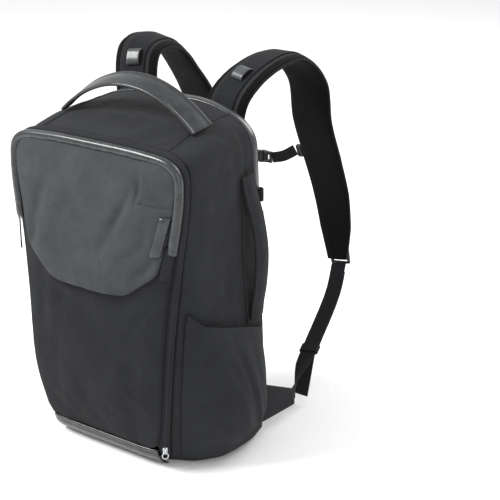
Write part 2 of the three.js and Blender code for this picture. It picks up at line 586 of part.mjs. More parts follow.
// Shoulder straps: side shares of HALF_WIDTH, back shares of STRAP_REACH behind the door, up shares of
// BODY_HEIGHT; each strap hangs in its own curve
const STRAP_TOP_Z = 0.83;
const STRAP_ROUTES = {
  right: [
    { side: 0.4, back: 0.0, up: STRAP_TOP_Z, width: 0.94, wall: 0.8, twist: 0 },
    { side: 0.44, back: 0.025, up: 0.9, width: 0.97, wall: 1, twist: 0 },
    { side: 0.46, back: 0.08, up: 0.99, width: 1, wall: 1, twist: 0 },
    { side: 0.53, back: 0.24, up: 1.055, width: 1, wall: 1, twist: 0 },
    { side: 0.59, back: 0.52, up: 1.075, width: 1, wall: 1, twist: 0 },
    { side: 0.635, back: 0.715, up: 0.99, width: 1, wall: 1, twist: 0 },
    { side: 0.65, back: 0.765, up: 0.86, width: 1, wall: 1, twist: 0 },
    { side: 0.67, back: 0.86, up: 0.735, width: 1, wall: 1, twist: 0 },
    { side: 0.71, back: 0.94, up: 0.605, width: 0.94, wall: 0.95, twist: 0 },
    { side: 0.755, back: 0.96, up: 0.49, width: 0.8, wall: 0.85, twist: 0 },
    { side: 0.8, back: 0.95, up: 0.385, width: 0.5, wall: 0.6, twist: 0 },
  ],
  left: [
    { side: -0.4, back: 0.0, up: STRAP_TOP_Z, width: 0.94, wall: 0.8, twist: 0 },
    { side: -0.46, back: 0.02, up: 0.9, width: 0.97, wall: 1, twist: 0 },
    { side: -0.58, back: 0.035, up: 0.98, width: 1, wall: 1, twist: 6 },
    { side: -0.66, back: 0.13, up: 1.085, width: 1, wall: 1, twist: 10 },
    { side: -0.68, back: 0.35, up: 1.09, width: 1, wall: 1, twist: 10 },
    { side: -0.67, back: 0.56, up: 0.985, width: 1, wall: 1, twist: 6 },
    { side: -0.65, back: 0.72, up: 0.86, width: 1, wall: 1, twist: 0 },
    { side: -0.67, back: 0.85, up: 0.735, width: 1, wall: 1, twist: 0 },
    { side: -0.71, back: 0.93, up: 0.605, width: 0.94, wall: 0.95, twist: 0 },
    { side: -0.755, back: 0.96, up: 0.49, width: 0.8, wall: 0.85, twist: 0 },
    { side: -0.8, back: 0.95, up: 0.385, width: 0.5, wall: 0.6, twist: 0 },
  ],
};
const STRAP_STEPS = 26;
const strapStart = doorBack + SEAM_GAP + STRAP_WALL / 2;
function strapFrames(side) {
  const rows = STRAP_ROUTES[side].map((row) => ({
    ...row, point: vec(row.side * HALF_WIDTH, strapStart + row.back * STRAP_REACH, row.up * BODY_HEIGHT) }));
  return routeFrames(rows, STRAP_STEPS);
}

// The narrow webbing that runs from the end of each strap to the wing near the floor
const WEBBING_ROUTE = [
  { side: 0.8, back: 0.966, up: 0.368, twist: 0 },
  { side: 0.84, back: 0.86, up: 0.29, twist: 0 },
  { side: 0.92, back: 0.56, up: 0.18, twist: 0 },
  { side: 0.97, back: 0.4, up: 0.135, twist: 10 },
  { side: 1.03, back: 0.235, up: 0.068, twist: 86 },
];
const LOOP_AT = 7;
const LOOP_RISE = 5.5;
const RIBBED_END = 12;
const KEEPER_AT = 9;
const STERNUM_AT = 18;
for (const [side, sign] of [["left", -1], ["right", 1]]) {
  const frames = strapFrames(side);
  piece(`shoulder_strap_${side}`, sweep(frames, (f) =>
    bandSection(f.value("width") * STRAP_WIDTH, f.value("wall") * STRAP_WALL, 3.2)), airMesh);

  // Ribbed webbing on the strap's outer face, and the loop sewn over it
  const outward = (f, height) => {
    const face = f.face.clone().multiplyScalar(-1);
    return { ...f, face, point: f.point.clone().addScaledVector(face, f.value("wall") * STRAP_WALL / 2 + height) };
  };
  const ribbed = frames.slice(2, RIBBED_END).map((f) => outward(f, 2 * SEAM_GAP + WEBBING_WALL / 2));
  piece(`ribbed_webbing_${side}`, sweep(ribbed, () => bandSection(RIBBED_WIDTH, WEBBING_WALL)), webbingCloth);
  const loopFoot = frames[LOOP_AT];
  const LOOP_HALF = 11;
  const loop = [-1, -0.75, -0.35, 0, 0.35, 0.75, 1].map((share) => {
    const f = outward(loopFoot, SEAM_GAP + WEBBING_WALL * 1.5 + LOOP_RISE * (1 - share ** 4));
    return { ...f, point: f.point.addScaledVector(f.along, share * LOOP_HALF) };
  });
  piece(`strap_loop_${side}`, sweep(loop, () => bandSection(20, WEBBING_WALL)), coated);

  // Ladder lock on the strap's end, webbing down to the wing, its free tail, and the keeper on both
  const at = (row) => vec(sign * row.side * HALF_WIDTH, strapStart + row.back * STRAP_REACH, row.up * BODY_HEIGHT);
  const end = frames.at(-1);
  const lock = new THREE.Shape();
  lock.moveTo(-LOCK_WIDTH / 2, 0).lineTo(LOCK_WIDTH / 2, 0);
  lock.lineTo(LOCK_WIDTH / 2 - 2, LOCK_HEIGHT).lineTo(-LOCK_WIDTH / 2 + 2, LOCK_HEIGHT).closePath();
  for (const low of [0.16, 0.58]) {
    const slot = new THREE.Path();
    const [x, bottom, top] = [LOCK_WIDTH / 2 - 4, low * LOCK_HEIGHT, (low + 0.26) * LOCK_HEIGHT];
    slot.moveTo(-x, bottom).lineTo(-x, top).lineTo(x, top).lineTo(x, bottom).closePath();
    lock.holes.push(slot);
  }
  placed(`ladder_lock_${side}`,
    new THREE.ExtrudeGeometry(lock, { depth: LOCK_WALL, bevelEnabled: false, curveSegments: 2 }), plastic,
    end.across, end.along.clone().negate(), end.point.clone()
      .addScaledVector(end.face, (-end.value("wall") * STRAP_WALL) / 2 - LOCK_STAND - LOCK_WALL)
      .addScaledVector(end.along, LOCK_HEIGHT * 0.35));

  const route = WEBBING_ROUTE.map((row) => ({ point: at(row), twist: sign * row.twist }));
  const webbing = routeFrames(route, 14);
  piece(`lower_webbing_${side}`, sweep(webbing, () => bandSection(WEBBING_WIDTH, WEBBING_WALL)), webbingCloth);
  const keeperAt = webbing[KEEPER_AT];
  const under = (f) => ({ ...f, point: f.point.clone().addScaledVector(f.face, -(WEBBING_WALL + TAIL_GAP)) });
  const hang = vec(0, -0.3, -1).normalize();
  const drop = [0.3, 0.6, 1].map((share) => ({
    point: under(keeperAt).point.addScaledVector(hang, TAIL_DROP * share),
    face: hang.clone().cross(axisX), across: axisX }));
  piece(`webbing_tail_${side}`, sweep([...webbing.slice(1, KEEPER_AT + 1).map(under), ...drop],
    () => bandSection(WEBBING_WIDTH, WEBBING_WALL)), webbingCloth);
  const keeper = rectangle(WEBBING_WIDTH + 5, KEEPER_DEPTH);
  keeper.holes.push(new THREE.Path(rectangle(WEBBING_WIDTH + 2, KEEPER_DEPTH - 3).getPoints()));
  placed(`webbing_keeper_${side}`, new THREE.ExtrudeGeometry(keeper, { depth: KEEPER_LENGTH, bevelEnabled: false }),
    webbingCloth, keeperAt.across, keeperAt.face, keeperAt.point.clone()
      .addScaledVector(keeperAt.face, -(WEBBING_WALL + TAIL_GAP) / 2)
      .addScaledVector(keeperAt.along, -KEEPER_LENGTH - 4));

  // Wing: the padded triangle sewn to the lower corner, which carries the webbing
  const tip = at(WEBBING_ROUTE.at(-1));
  const WING_ROWS = [0, 0.25, 0.5, 0.75, 1];
  piece(`wing_${side}`, wall(WING_ROWS.map((share) => {
    const y = lerp(BACK_Y - 2.5, tip.y - 3, share);
    return [0, 0.33, 0.67, 1].map((up) => {
      const z = lerp(lerp(WING_FOOT_Z, tip.z - WEBBING_WIDTH / 2, share), lerp(WING_TOP_Z, tip.z + WEBBING_WIDTH / 2, share), up);
      const x = bodySideX(BACK_Y - 2.5, z) + 2 * SEAM_GAP + WING_WALL;
      return vec(sign * lerp(x, Math.abs(tip.x) + WING_WALL + WING_STAND, Math.min(1, share * 1.1)), y, z);
    });
  }), (p) => vec(p.x - sign * WING_WALL, p.y, p.z)), canvas);

  // Sternum strap: a clip on the strap's inner edge and webbing that sags to the buckle
  const chest = frames[STERNUM_AT];
  const inward = chest.across.clone().multiplyScalar(-sign);
  const edge = chest.point.clone().addScaledVector(inward, (chest.value("width") * STRAP_WIDTH) / 2 + SEAM_GAP);
  placed(`sternum_clip_${side}`, new THREE.ExtrudeGeometry(rectangle(CLIP_WIDTH, STERNUM_WIDTH + 4),
    { depth: BUCKLE_WALL, bevelEnabled: false }), plastic, inward,
    chest.along.clone(), edge.clone().addScaledVector(inward, CLIP_WIDTH / 2)
      .addScaledVector(inward.clone().cross(chest.along), -BUCKLE_WALL / 2));
  const start = edge.clone().addScaledVector(inward, CLIP_WIDTH + STERNUM_GAP);
  const low = vec(0, start.y - 10, start.z - STERNUM_SAG);
  const stop = low.clone().setX(sign * (BUCKLE_LENGTH / 2 + BUCKLE_GAP));
  const sag = start.clone().lerp(stop, 0.5).add(vec(0, 0, -STERNUM_SAG * 0.2));
  piece(`sternum_strap_${side}`, sweep(routeFrames([{ point: start }, { point: sag }, { point: stop }], 6, axisZ),
    () => bandSection(STERNUM_WIDTH, WEBBING_WALL)), webbingCloth);
  const buckle = new THREE.Shape();
  const [near, far, halfTall] = [SEAM_GAP / 2, BUCKLE_LENGTH / 2, BUCKLE_HEIGHT / 2];
  buckle.moveTo(near, -halfTall).lineTo(far - 3, -halfTall).lineTo(far, -halfTall + 3);
  buckle.lineTo(far, halfTall - 3).lineTo(far - 3, halfTall).lineTo(near, halfTall).closePath();
  placed(`sternum_${side === "left" ? "plug" : "socket"}`,
    new THREE.ExtrudeGeometry(buckle, { depth: BUCKLE_WALL, bevelEnabled: false }), plastic,
    axisX.clone().multiplyScalar(sign), axisZ, low.clone().add(vec(0, sign * BUCKLE_WALL / 2, 0)));
}

// Small loop tabs on the back seam, one on each side
for (const [side, sign] of [["left", -1], ["right", 1]]) {
  const x = bodySideX(SIDE_TAB_Y, SIDE_TAB_Z) + SEAM_GAP + 1;
  const rows = [[0, -5], [0.5, -4.4], [0.95, -2], [1, 0], [0.95, 2], [0.5, 4.4], [0, 5]].map(([out, y]) => (
    { point: vec(sign * (x + out * SIDE_TAB_REACH), SIDE_TAB_Y + y, SIDE_TAB_Z) }));
  piece(`side_tab_${side}`, sweep(routeFrames(rows, 12, axisZ), () => bandSection(SIDE_TAB_WIDTH, 1.4)),
    webbingCloth);
}

// Coated garage over the upper end of the flap's zip
const garageRows = [0, 0.33, 0.67, 1].map((up) => {
  const z = lerp(GARAGE_FOOT_Z, GARAGE_FOOT_Z + GARAGE_LENGTH, up);
  const edge = widthAt(flapOutline.slice(0, flapOutline.length / 2 + 1), z);
  return [0, 0.5, 1].map((across) => {
    const x = edge - GARAGE_WIDTH * (1 - across) + GARAGE_OUT;
    return vec(x, flapFaceY(x, z, Math.min(1, x / edge)) - SEAM_GAP - GARAGE_WALL, z);
  });
});
piece("zip_garage", wall(garageRows, (p) => vec(p.x, p.y + GARAGE_WALL, p.z)), coated);

// Zip sliders: a body with a tunnel through its bridge, standing on the tape
function slider(name, at, outward) {
  const side = axisZ.clone().cross(outward).normalize();
  const shape = rectangle(SLIDER_DEPTH, SLIDER_HEIGHT);
  const tunnel = rectangle(TUNNEL, TUNNEL).getPoints().map((p) => p.add(
    new THREE.Vector2(SLIDER_DEPTH / 2 - TUNNEL / 2 - 1.2, SLIDER_HEIGHT / 2 - TUNNEL / 2 - 1.4)));
  shape.holes.push(new THREE.Path(tunnel));
  const centre = at.clone().addScaledVector(outward, SLIDER_DEPTH / 2);
  placed(name, new THREE.ExtrudeGeometry(shape, { depth: SLIDER_WIDTH, bevelEnabled: false }), steel,
    outward, axisZ, centre.clone().addScaledVector(outward.clone().cross(axisZ), -SLIDER_WIDTH / 2));
  return {
    side,
    hinge: centre.clone().addScaledVector(outward, SLIDER_DEPTH / 2 - TUNNEL / 2 - 1.2)
      .addScaledVector(axisZ, SLIDER_HEIGHT / 2 - TUNNEL / 2 - 1.4),
  };
}

// Pull frame that hangs with its top bar in the tunnel
function pull(name, { hinge, side }, outward, { length, width, bar, neck }, material) {
  const half = SLIDER_WIDTH / 2 + PULL_PLAY;
  const ring = (grow) => new THREE.Shape([
    [-half - grow, PULL_BAR / 2 - (grow ? 0 : PULL_BAR)], [half + grow, PULL_BAR / 2 - (grow ? 0 : PULL_BAR)],
    [half + grow, -neck], [width / 2 - bar + grow, -length * 0.62], [width * 0.3 - bar + grow, -length + bar - grow],
    [-width * 0.3 + bar - grow, -length + bar - grow], [-width / 2 + bar - grow, -length * 0.62],
    [-half - grow, -neck],
  ].map(([x, y]) => new THREE.Vector2(x, y)));
  const frame = ring(bar);
  frame.holes.push(new THREE.Path(ring(0).getPoints().reverse()));
  return placed(name, new THREE.ExtrudeGeometry(frame, { depth: PULL_BAR, bevelEnabled: false }), material,
    side, axisZ, hinge.clone().addScaledVector(side.clone().cross(axisZ), -PULL_BAR / 2));
}

const METAL_PULL = { length: PULL_LENGTH, width: 8.6, bar: PULL_BAR, neck: 8 };
const SOFT_PULL = { length: SOFT_PULL_LENGTH, width: SOFT_PULL_WIDTH, bar: SOFT_PULL_BAR, neck: 9 };
const tapeNormal = (sign) => vec(sign * Math.SQRT1_2, -Math.SQRT1_2, 0);
const tapeMiddle = tapeInner.map((p, i) => p.clone().lerp(tapeOuter[i], 0.45));
function onTape(sign, z) {
  const side = tapeMiddle.filter((p) => sign * p.x > 0);
  const high = side.findIndex((p, i) => i > 0 && (p.y - z) * (side[i - 1].y - z) <= 0);
  const [a, b] = [side[high - 1], side[high]];
  const point = vec(lerp(a.x, b.x, (z - a.y) / (b.y - a.y)), lerp(panelY(z) + PANEL_WALL, rimY(z), 0.45), z);
  return point.addScaledVector(tapeNormal(sign), TAPE_WALL + SLIDER_STAND);
}
for (const [side, sign, z] of [["right", 1, FRONT_SLIDER_RIGHT_Z], ["left", -1, FRONT_SLIDER_LEFT_Z]]) {
  const hold = slider(`front_slider_${side}`, onTape(sign, z), tapeNormal(sign));
  const [shape, material] = sign > 0 ? [METAL_PULL, steel] : [SOFT_PULL, rubber];
  pull(`front_pull_${side}`, hold, tapeNormal(sign), shape, material);
}
for (const [side, sign] of [["left", -1], ["right", 1]]) {
  const z = BACK_SLIDER_Z;
  const x = widthAt(bodyHalf(BODY_SECTIONS.at(-1)), z) - DOOR_INSET / 2;
  const hold = slider(`back_slider_${side}`, vec(sign * x, BACK_Y + 7.2, z), axisY.clone());
  pull(`back_pull_${side}`, hold, axisY.clone(), { ...SOFT_PULL, length: SOFT_PULL_LENGTH * 0.8 }, rubber);
}

export default bag;
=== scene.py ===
import math

import bmesh
import bpy
import numpy as np
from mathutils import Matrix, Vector, noise


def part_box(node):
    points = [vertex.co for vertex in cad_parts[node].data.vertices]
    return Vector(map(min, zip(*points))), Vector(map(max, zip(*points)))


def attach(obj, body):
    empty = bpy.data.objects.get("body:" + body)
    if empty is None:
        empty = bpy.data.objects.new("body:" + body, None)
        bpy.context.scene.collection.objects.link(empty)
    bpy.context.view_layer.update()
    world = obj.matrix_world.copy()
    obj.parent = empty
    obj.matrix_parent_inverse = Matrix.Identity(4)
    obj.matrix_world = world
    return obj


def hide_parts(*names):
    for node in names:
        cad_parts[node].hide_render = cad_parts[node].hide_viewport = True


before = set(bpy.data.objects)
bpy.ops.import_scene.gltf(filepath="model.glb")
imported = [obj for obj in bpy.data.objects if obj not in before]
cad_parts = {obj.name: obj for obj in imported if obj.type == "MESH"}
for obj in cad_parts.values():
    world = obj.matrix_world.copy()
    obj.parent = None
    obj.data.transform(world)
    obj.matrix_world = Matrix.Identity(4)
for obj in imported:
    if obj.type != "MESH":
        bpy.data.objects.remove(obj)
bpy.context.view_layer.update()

# Camera: the photograph's view, from the right front and above
CAMERA_AZIMUTH, CAMERA_ELEVATION, CAMERA_DISTANCE = math.radians(35.5), math.radians(20.5), 1.65
camera_back = Vector((
    math.sin(CAMERA_AZIMUTH) * math.cos(CAMERA_ELEVATION),
    -math.cos(CAMERA_AZIMUTH) * math.cos(CAMERA_ELEVATION),
    math.sin(CAMERA_ELEVATION)))
camera_data = bpy.data.cameras.new("camera")
camera_data.sensor_width = 36
camera_data.lens = 92.07
camera = bpy.data.objects.new("camera", camera_data)
camera.location = Vector((0.193, 0, 0.319)) + camera_back * CAMERA_DISTANCE
camera.rotation_mode = "QUATERNION"
camera.rotation_quaternion = (-camera_back).to_track_quat("-Z", "Y")
bpy.context.scene.collection.objects.link(camera)
bpy.context.scene.camera = camera
bpy.context.scene.view_settings.view_transform = "Standard"


def colour(code):
    """Linear colour from an sRGB hex code."""
    parts = [int(code[i:i + 2], 16) / 255 for i in (1, 3, 5)]
    return [c / 12.92 if c <= 0.04045 else ((c + 0.055) / 1.055) ** 2.4 for c in parts] + [1]


# Studio: a pale floor and sky, one large soft light from the upper left and two fills
world = bpy.data.worlds.new("studio")
bpy.context.scene.world = world
world.use_nodes = True
world.node_tree.nodes["Background"].inputs[0].default_value = (1, 1, 1, 1)
world.node_tree.nodes["Background"].inputs[1].default_value = 0.9
for name, place, size, power in [
        ("key", (-1.5, -1.5, 2.3), 1.1, 100), ("fill", (2.3, -1.4, 1.4), 1.8, 14),
            ("rear", (0.6, 2.2, 1.8), 1.6, 40)]:
    lamp = bpy.data.lights.new(name, "AREA")
    lamp.size, lamp.energy = size, power
    lamp_object = bpy.data.objects.new(name, lamp)
    lamp_object.location = place
    lamp_object.rotation_mode = "QUATERNION"
    lamp_object.rotation_quaternion = (Vector((0, 0, 0.25)) - Vector(place)).to_track_quat("-Z", "Y")
    bpy.context.scene.collection.objects.link(lamp_object)
floor_mesh = bpy.data.meshes.new("floor")
floor_mesh.from_pydata([(-4, -4, 0), (4, -4, 0), (4, 4, 0), (-4, 4, 0)], [], [(0, 1, 2, 3)])
floor = bpy.data.objects.new("floor", floor_mesh)
bpy.context.scene.collection.objects.link(floor)


# Materials
def add(material, kind, settings=None, **links):
    """A node with settings by input or property name, and links from other nodes' outputs."""
    node = material.node_tree.nodes.new(kind)
    for key, value in (settings or {}).items():
        if isinstance(key, str) and hasattr(node, key):
            setattr(node, key, value)
        else:
            node.inputs[key].default_value = value
    for key, source in links.items():
        by_number = key[0] == "i" and key[1:].isdigit()
        socket = node.inputs[int(key[1:])] if by_number else node.inputs[key.replace("_", " ")]
        output = source if isinstance(source, bpy.types.NodeSocket) else source.outputs[0]
        material.node_tree.links.new(output, socket)
    return node


def material_start(name):
    material = bpy.data.materials.new(name)
    material.use_nodes = True
    material.node_tree.nodes.clear()
    return material


def surface(material, base, rough, bump, height, **settings):
    """Principled shader with colour, roughness and height made by nodes."""
    relief = add(material, "ShaderNodeBump", {"Strength": bump, "Distance": 0.001}, Height=height)
    shader = add(material, "ShaderNodeBsdfPrincipled", settings, Base_Color=base, Roughness=rough,
        Normal=relief)
    add(material, "ShaderNodeOutputMaterial", Surface=shader)
    return material


def woven(name, dark, light, pitch, rough=(0.78, 0.92), bump=0.5, sheen=0.02, fleck=0.6):
    """Plain woven cloth: crossing threads at a real pitch, mottled yarn and slightly worn patches."""
    m = material_start(name)
    place = add(m, "ShaderNodeTexCoord").outputs["Object"]
    parts = add(m, "ShaderNodeSeparateXYZ", i0=place)
    # Threads run along two directions; the side and top faces take the third
    waves = []
    for axis in (0, 1, 2):
        turns = add(m, "ShaderNodeMath", {"operation": "MULTIPLY", 1: 2 * math.pi / pitch},
            i0=parts.outputs[axis])
        waves.append(add(m, "ShaderNodeMath", {"operation": "SINE"}, i0=turns))
    normal = add(m, "ShaderNodeSeparateXYZ", i0=add(m, "ShaderNodeNewGeometry").outputs["True Normal"])
    threads = None
    for axis in (0, 1, 2):
        others = [waves[k] for k in (0, 1, 2) if k != axis]
        cross = add(m, "ShaderNodeMath", {"operation": "MULTIPLY"}, i0=others[0], i1=others[1])
        facing = add(m, "ShaderNodeMath", {"operation": "MULTIPLY"}, i0=normal.outputs[axis],
            i1=normal.outputs[axis])
        part = add(m, "ShaderNodeMath", {"operation": "MULTIPLY"}, i0=cross, i1=facing)
        threads = part if threads is None else add(m, "ShaderNodeMath", {"operation": "ADD"}, i0=threads,
            i1=part)
    fine = add(m, "ShaderNodeTexNoise", {"Scale": 900, "Detail": 2}, Vector=place)
    broad = add(m, "ShaderNodeTexNoise", {"Scale": 14, "Detail": 4, "Roughness": 0.6}, Vector=place)
    yarn = add(m, "ShaderNodeMapRange", {"From Min": -1.2, "From Max": 1.2}, Value=threads)
    mixed = add(m, "ShaderNodeMath", {"operation": "MULTIPLY", 1: fleck}, i0=fine)
    shade = add(m, "ShaderNodeMath", {"operation": "ADD"}, i0=mixed, i1=add(
        m, "ShaderNodeMapRange", {"To Min": 0.0, "To Max": 0.45}, Value=yarn))
    shade = add(m, "ShaderNodeMath", {"operation": "ADD", "use_clamp": True}, i0=shade, i1=add(
        m, "ShaderNodeMapRange", {"From Min": 0.3, "From Max": 0.7, "To Min": 0.0, "To Max": 0.35},
            Value=broad))
    ramp = add(m, "ShaderNodeValToRGB", i0=shade)
    ramp.color_ramp.elements[0].color = colour(dark)
    ramp.color_ramp.elements[1].color = colour(light)
    roughness = add(m, "ShaderNodeMapRange", {"To Min": rough[0], "To Max": rough[1]}, Value=broad)
    height = add(m, "ShaderNodeMath", {"operation": "ADD"}, i0=add(
        m, "ShaderNodeMapRange", {"To Min": 0.0, "To Max": 0.25}, Value=yarn), i1=add(
        m, "ShaderNodeMapRange", {"To Min": 0.0, "To Max": 0.12}, Value=fine))
    # Handling leaves soft creases that the mesh is too coarse for
    creases = add(m, "ShaderNodeTexNoise", {"Scale": 26, "Detail": 5, "Roughness": 0.55, "Distortion": 1.4},
        Vector=place)
    height = add(m, "ShaderNodeMath", {"operation": "ADD"}, i0=height, i1=add(
        m, "ShaderNodeMapRange", {"To Min": 0.0, "To Max": 4.0}, Value=creases))
    return surface(m, ramp, roughness, bump, height, **{
        "Specular IOR Level": 0.16, "Sheen Weight": sheen, "Sheen Roughness": 0.45})


def moulded(name, tone, rough, metallic=0.0, bump=0.08):
    """Moulded plastic, rubber or metal with fine wear in its gloss."""
    m = material_start(name)
    place = add(m, "ShaderNodeTexCoord").outputs["Object"]
    wear = add(m, "ShaderNodeTexNoise", {"Scale": 160, "Detail": 4, "Roughness": 0.7}, Vector=place)
    ramp = add(m, "ShaderNodeValToRGB", i0=wear)
    ramp.color_ramp.elements[0].color = [c * 0.82 for c in colour(tone)[:3]] + [1]
    ramp.color_ramp.elements[1].color = colour(tone)
    roughness = add(m, "ShaderNodeMapRange", {"To Min": rough - 0.08, "To Max": rough + 0.1}, Value=wear)
    return surface(m, ramp, roughness, bump, wear, **{"Metallic": metallic})


floor.data.materials.append(moulded("floor_paper", "#fbfbfb", 0.9, bump=0.0))

MM = 0.001
HEIGHT, HALF_WIDTH, BACK_Y, PANEL_Y, TAPE_DEPTH = 482, 150, 90, -90, 20


# Outlines of the body: shares of the half width and the height, in five sections from front to back
BODY_SECTIONS = [
    # at, foot, low, waist, shoulder, crown, drop, corner
    (0.00, 0.68, 0.80, 0.870, 0.975, 0.942, 0.016, 0.44),
    (0.12, 0.88, 0.95, 0.955, 0.985, 0.953, 0.020, 0.56),
    (0.35, 1.03, 1.05, 0.995, 0.990, 0.973, 0.028, 0.50),
    (0.70, 1.06, 1.06, 0.990, 0.975, 0.990, 0.040, 0.42),
    (1.00, 1.00, 1.02, 0.980, 0.950, 1.000, 0.055, 0.38),
]
PANEL_SECTION = (0.0, 0.65, 0.76, 0.815, 0.965, 0.93, 0.012, 0.34)
PANEL_FLOOR = 0.064
FRONT_PROFILE = [(0, 0.78), (0.045, 0.89), (0.1, 0.97), (0.25, 1.05), (0.5, 1.0), (0.75, 0.92), (1, 0.87)]


def smooth_row(rows, at):
    """Values of a table at a place, on smooth curves through its rows."""
    last = len(rows) - 1
    i = 0
    while i < last - 1 and at > rows[i + 1][0]:
        i += 1
    t = min(1, max(0, (at - rows[i][0]) / (rows[i + 1][0] - rows[i][0])))
    p0, p1, p2, p3 = (np.array(rows[min(last, max(0, k))], float) for k in (i - 1, i, i + 1, i + 2))
    m1, m2 = (p2 - p0) / 2, (p3 - p1) / 2
    return p1 + t * (m1 + t * (3 * (p2 - p1) - 2 * m1 - m2 + t * (2 * (p1 - p2) + m1 + m2)))


def resample(path, count):
    """The same path in even steps."""
    path = np.asarray(path, float)
    steps = np.r_[0, np.cumsum(np.linalg.norm(np.diff(path, axis=0), axis=1))]
    at = np.linspace(0, steps[-1], count)
    return np.stack([np.interp(at, steps, path[:, k]) for k in range(path.shape[1])], 1)


def half_outline(corners, count=180):
    """Half an outline: straight runs between corners that are cut by smooth arcs."""
    points = [np.array(corners[0][0], float)]
    for i in range(1, len(corners) - 1):
        at, cut = np.array(corners[i][0], float), corners[i][1]
        last, following = np.array(corners[i - 1][0], float), np.array(corners[i + 1][0], float)
        a = at + (last - at) * min(0.5, cut / np.linalg.norm(last - at))
        b = at + (following - at) * min(0.5, cut / np.linalg.norm(following - at))
        points += [(1 - t) ** 2 * a + 2 * t * (1 - t) * at + t * t * b for t in np.linspace(0, 1, 13)]
    points.append(np.array(corners[-1][0], float))
    return resample(points, count)


def body_half(section, floor=0.0):
    _, foot, low, waist, shoulder, crown, drop, corner = section
    at = lambda share, z: (share * HALF_WIDTH, z * HEIGHT)
    return half_outline([
        (at(0, floor), 0), (at(foot, floor), 20), (at(low, 0.21), 45), (at(waist, 0.5), 50),
        (at(shoulder, 0.82), 30), (at(shoulder - 0.02, crown - drop), corner * HALF_WIDTH),
        (at(shoulder / 2, crown), 40), (at(0, crown), 0)])


def panel_y(z):
    return PANEL_Y * smooth_row(FRONT_PROFILE, z / HEIGHT)[1]


def rim_y(z):
    return panel_y(z) + TAPE_DEPTH


def width_at(half, z):
    """Largest x of a half outline at a height."""
    a, b = half[:-1], half[1:]
    hit = ((z - a[:, 1]) * (z - b[:, 1]) <= 0) & (np.abs(a[:, 1] - b[:, 1]) > 1e-6)
    if not hit.any():
        return 0.0
    a, b = a[hit], b[hit]
    return float((a[:, 0] + (b[:, 0] - a[:, 0]) * (z - a[:, 1]) / (b[:, 1] - a[:, 1])).max())


def whole(half):
    """The full closed outline, from the bottom centre over the right side to the top and back."""
    left = half[1:-1][::-1] * [-1, 1]
    return np.vstack([half, left])


def inset(outline, distance):
    along = np.roll(outline, -1, 0) - np.roll(outline, 1, 0)
    along /= np.linalg.norm(along, axis=1)[:, None]
    return outline + distance * np.stack([-along[:, 1], along[:, 0]], 1)


def body_side_x(y, z):
    return width_at(body_half(smooth_row(BODY_SECTIONS, (y - rim_y(z)) / (BACK_Y - rim_y(z)))), z)


def dimple(x, y, folds):
    """Sum of soft folds: each row is (x, y, turn in degrees, half length, half width, depth)."""
    total = np.zeros_like(np.asarray(x, float))
    for fx, fy, turn, long, wide, depth in folds:
        c, s = math.cos(math.radians(turn)), math.sin(math.radians(turn))
        u, v = (x - fx) * c + (y - fy) * s, -(x - fx) * s + (y - fy) * c
        total += depth * np.exp(-(u / long) ** 2 - (v / wide) ** 2)
    return total


def ripple(points, scale, strength, seed):
    """Seeded smooth noise at points in millimetres."""
    offset = Vector((seed, seed, seed))
    return np.array([noise.fractal(Vector(p) / scale + offset, 0.7, 2.0, 3) for p in points]) * strength


def grid_faces(rows, columns, closed=False):
    faces = []
    for r in range(rows - 1):
        for c in range(columns if closed else columns - 1):
            d = (c + 1) % columns
            faces.append((r * columns + c, r * columns + d, (r + 1) * columns + d, (r + 1) * columns + c))
    return faces


def normals_of(grid, closed=False):
    """Unit normals of a grid of points, shape (rows, columns, 3)."""
    down = np.gradient(grid, axis=0)
    if closed:
        across = (np.roll(grid, -1, 1) - np.roll(grid, 1, 1)) / 2
    else:
        across = np.gradient(grid, axis=1)
    n = np.cross(across, down)
    length = np.linalg.norm(n, axis=2, keepdims=True)
    return n / np.where(length < 1e-9, 1, length)


def cloth(name, points, faces, material, body="pack", thick=0.0, away=None, smooth=True):
    """A mesh object in metres from points in millimetres, turned away from a point, walls by Solidify."""
    mesh = bpy.data.meshes.new(name)
    mesh.from_pydata([tuple(p) for p in np.asarray(points, float).reshape(-1, 3) * MM], [], faces)
    work = bmesh.new()
    work.from_mesh(mesh)
    bmesh.ops.remove_doubles(work, verts=work.verts, dist=0.00002)
    bmesh.ops.recalc_face_normals(work, faces=work.faces)
    if away is not None:
        middle = Vector(away) * MM
        if sum((f.calc_center_median() - middle).dot(f.normal) * f.calc_area() for f in work.faces) < 0:
            bmesh.ops.reverse_faces(work, faces=work.faces)
    for face in work.faces:
        face.smooth = smooth
    work.to_mesh(mesh)
    work.free()
    mesh.materials.append(material)
    piece = bpy.data.objects.new(name, mesh)
    bpy.context.scene.collection.objects.link(piece)
    if thick:
        wall = piece.modifiers.new("wall", "SOLIDIFY")
        wall.thickness, wall.offset = thick * MM, -1
    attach(piece, body)
    return piece


# Body: one shell of padded canvas from the front rim to the back rim. Woven canvas is matt with a faint
# fleck from its mottled yarn. It is sewn from a top panel and two sides, and sags in soft folds.
canvas = woven("canvas", "#08090a", "#2b2c2e", 0.0011)
SIDE_FOLDS = [
    # y, z, turn, half length, half width, depth
    (-20, 300, 84, 90, 16, 1.6), (30, 330, 100, 70, 14, -1.2), (5, 240, 75, 50, 12, 1.2),
    (-35, 400, 60, 40, 14, 1.5), (40, 430, 35, 45, 12, 1.2), (20, 270, 92, 60, 9, -0.9),
    (-45, 350, 88, 60, 6, 1.2), (55, 380, 88, 80, 5, 1.3),
]
TOP_FOLDS = [(-60, -20, 20, 50, 16, 1.3), (40, 10, -25, 60, 18, 1.2), (0, -40, 0, 90, 12, 0.9),
    (75, -30, 60, 35, 9, 1.2)]
stations = np.concatenate([[0, 0.004, 0.012], np.linspace(0.03, 0.97, 52), [0.988, 0.996, 1.0]])
body_rings = []
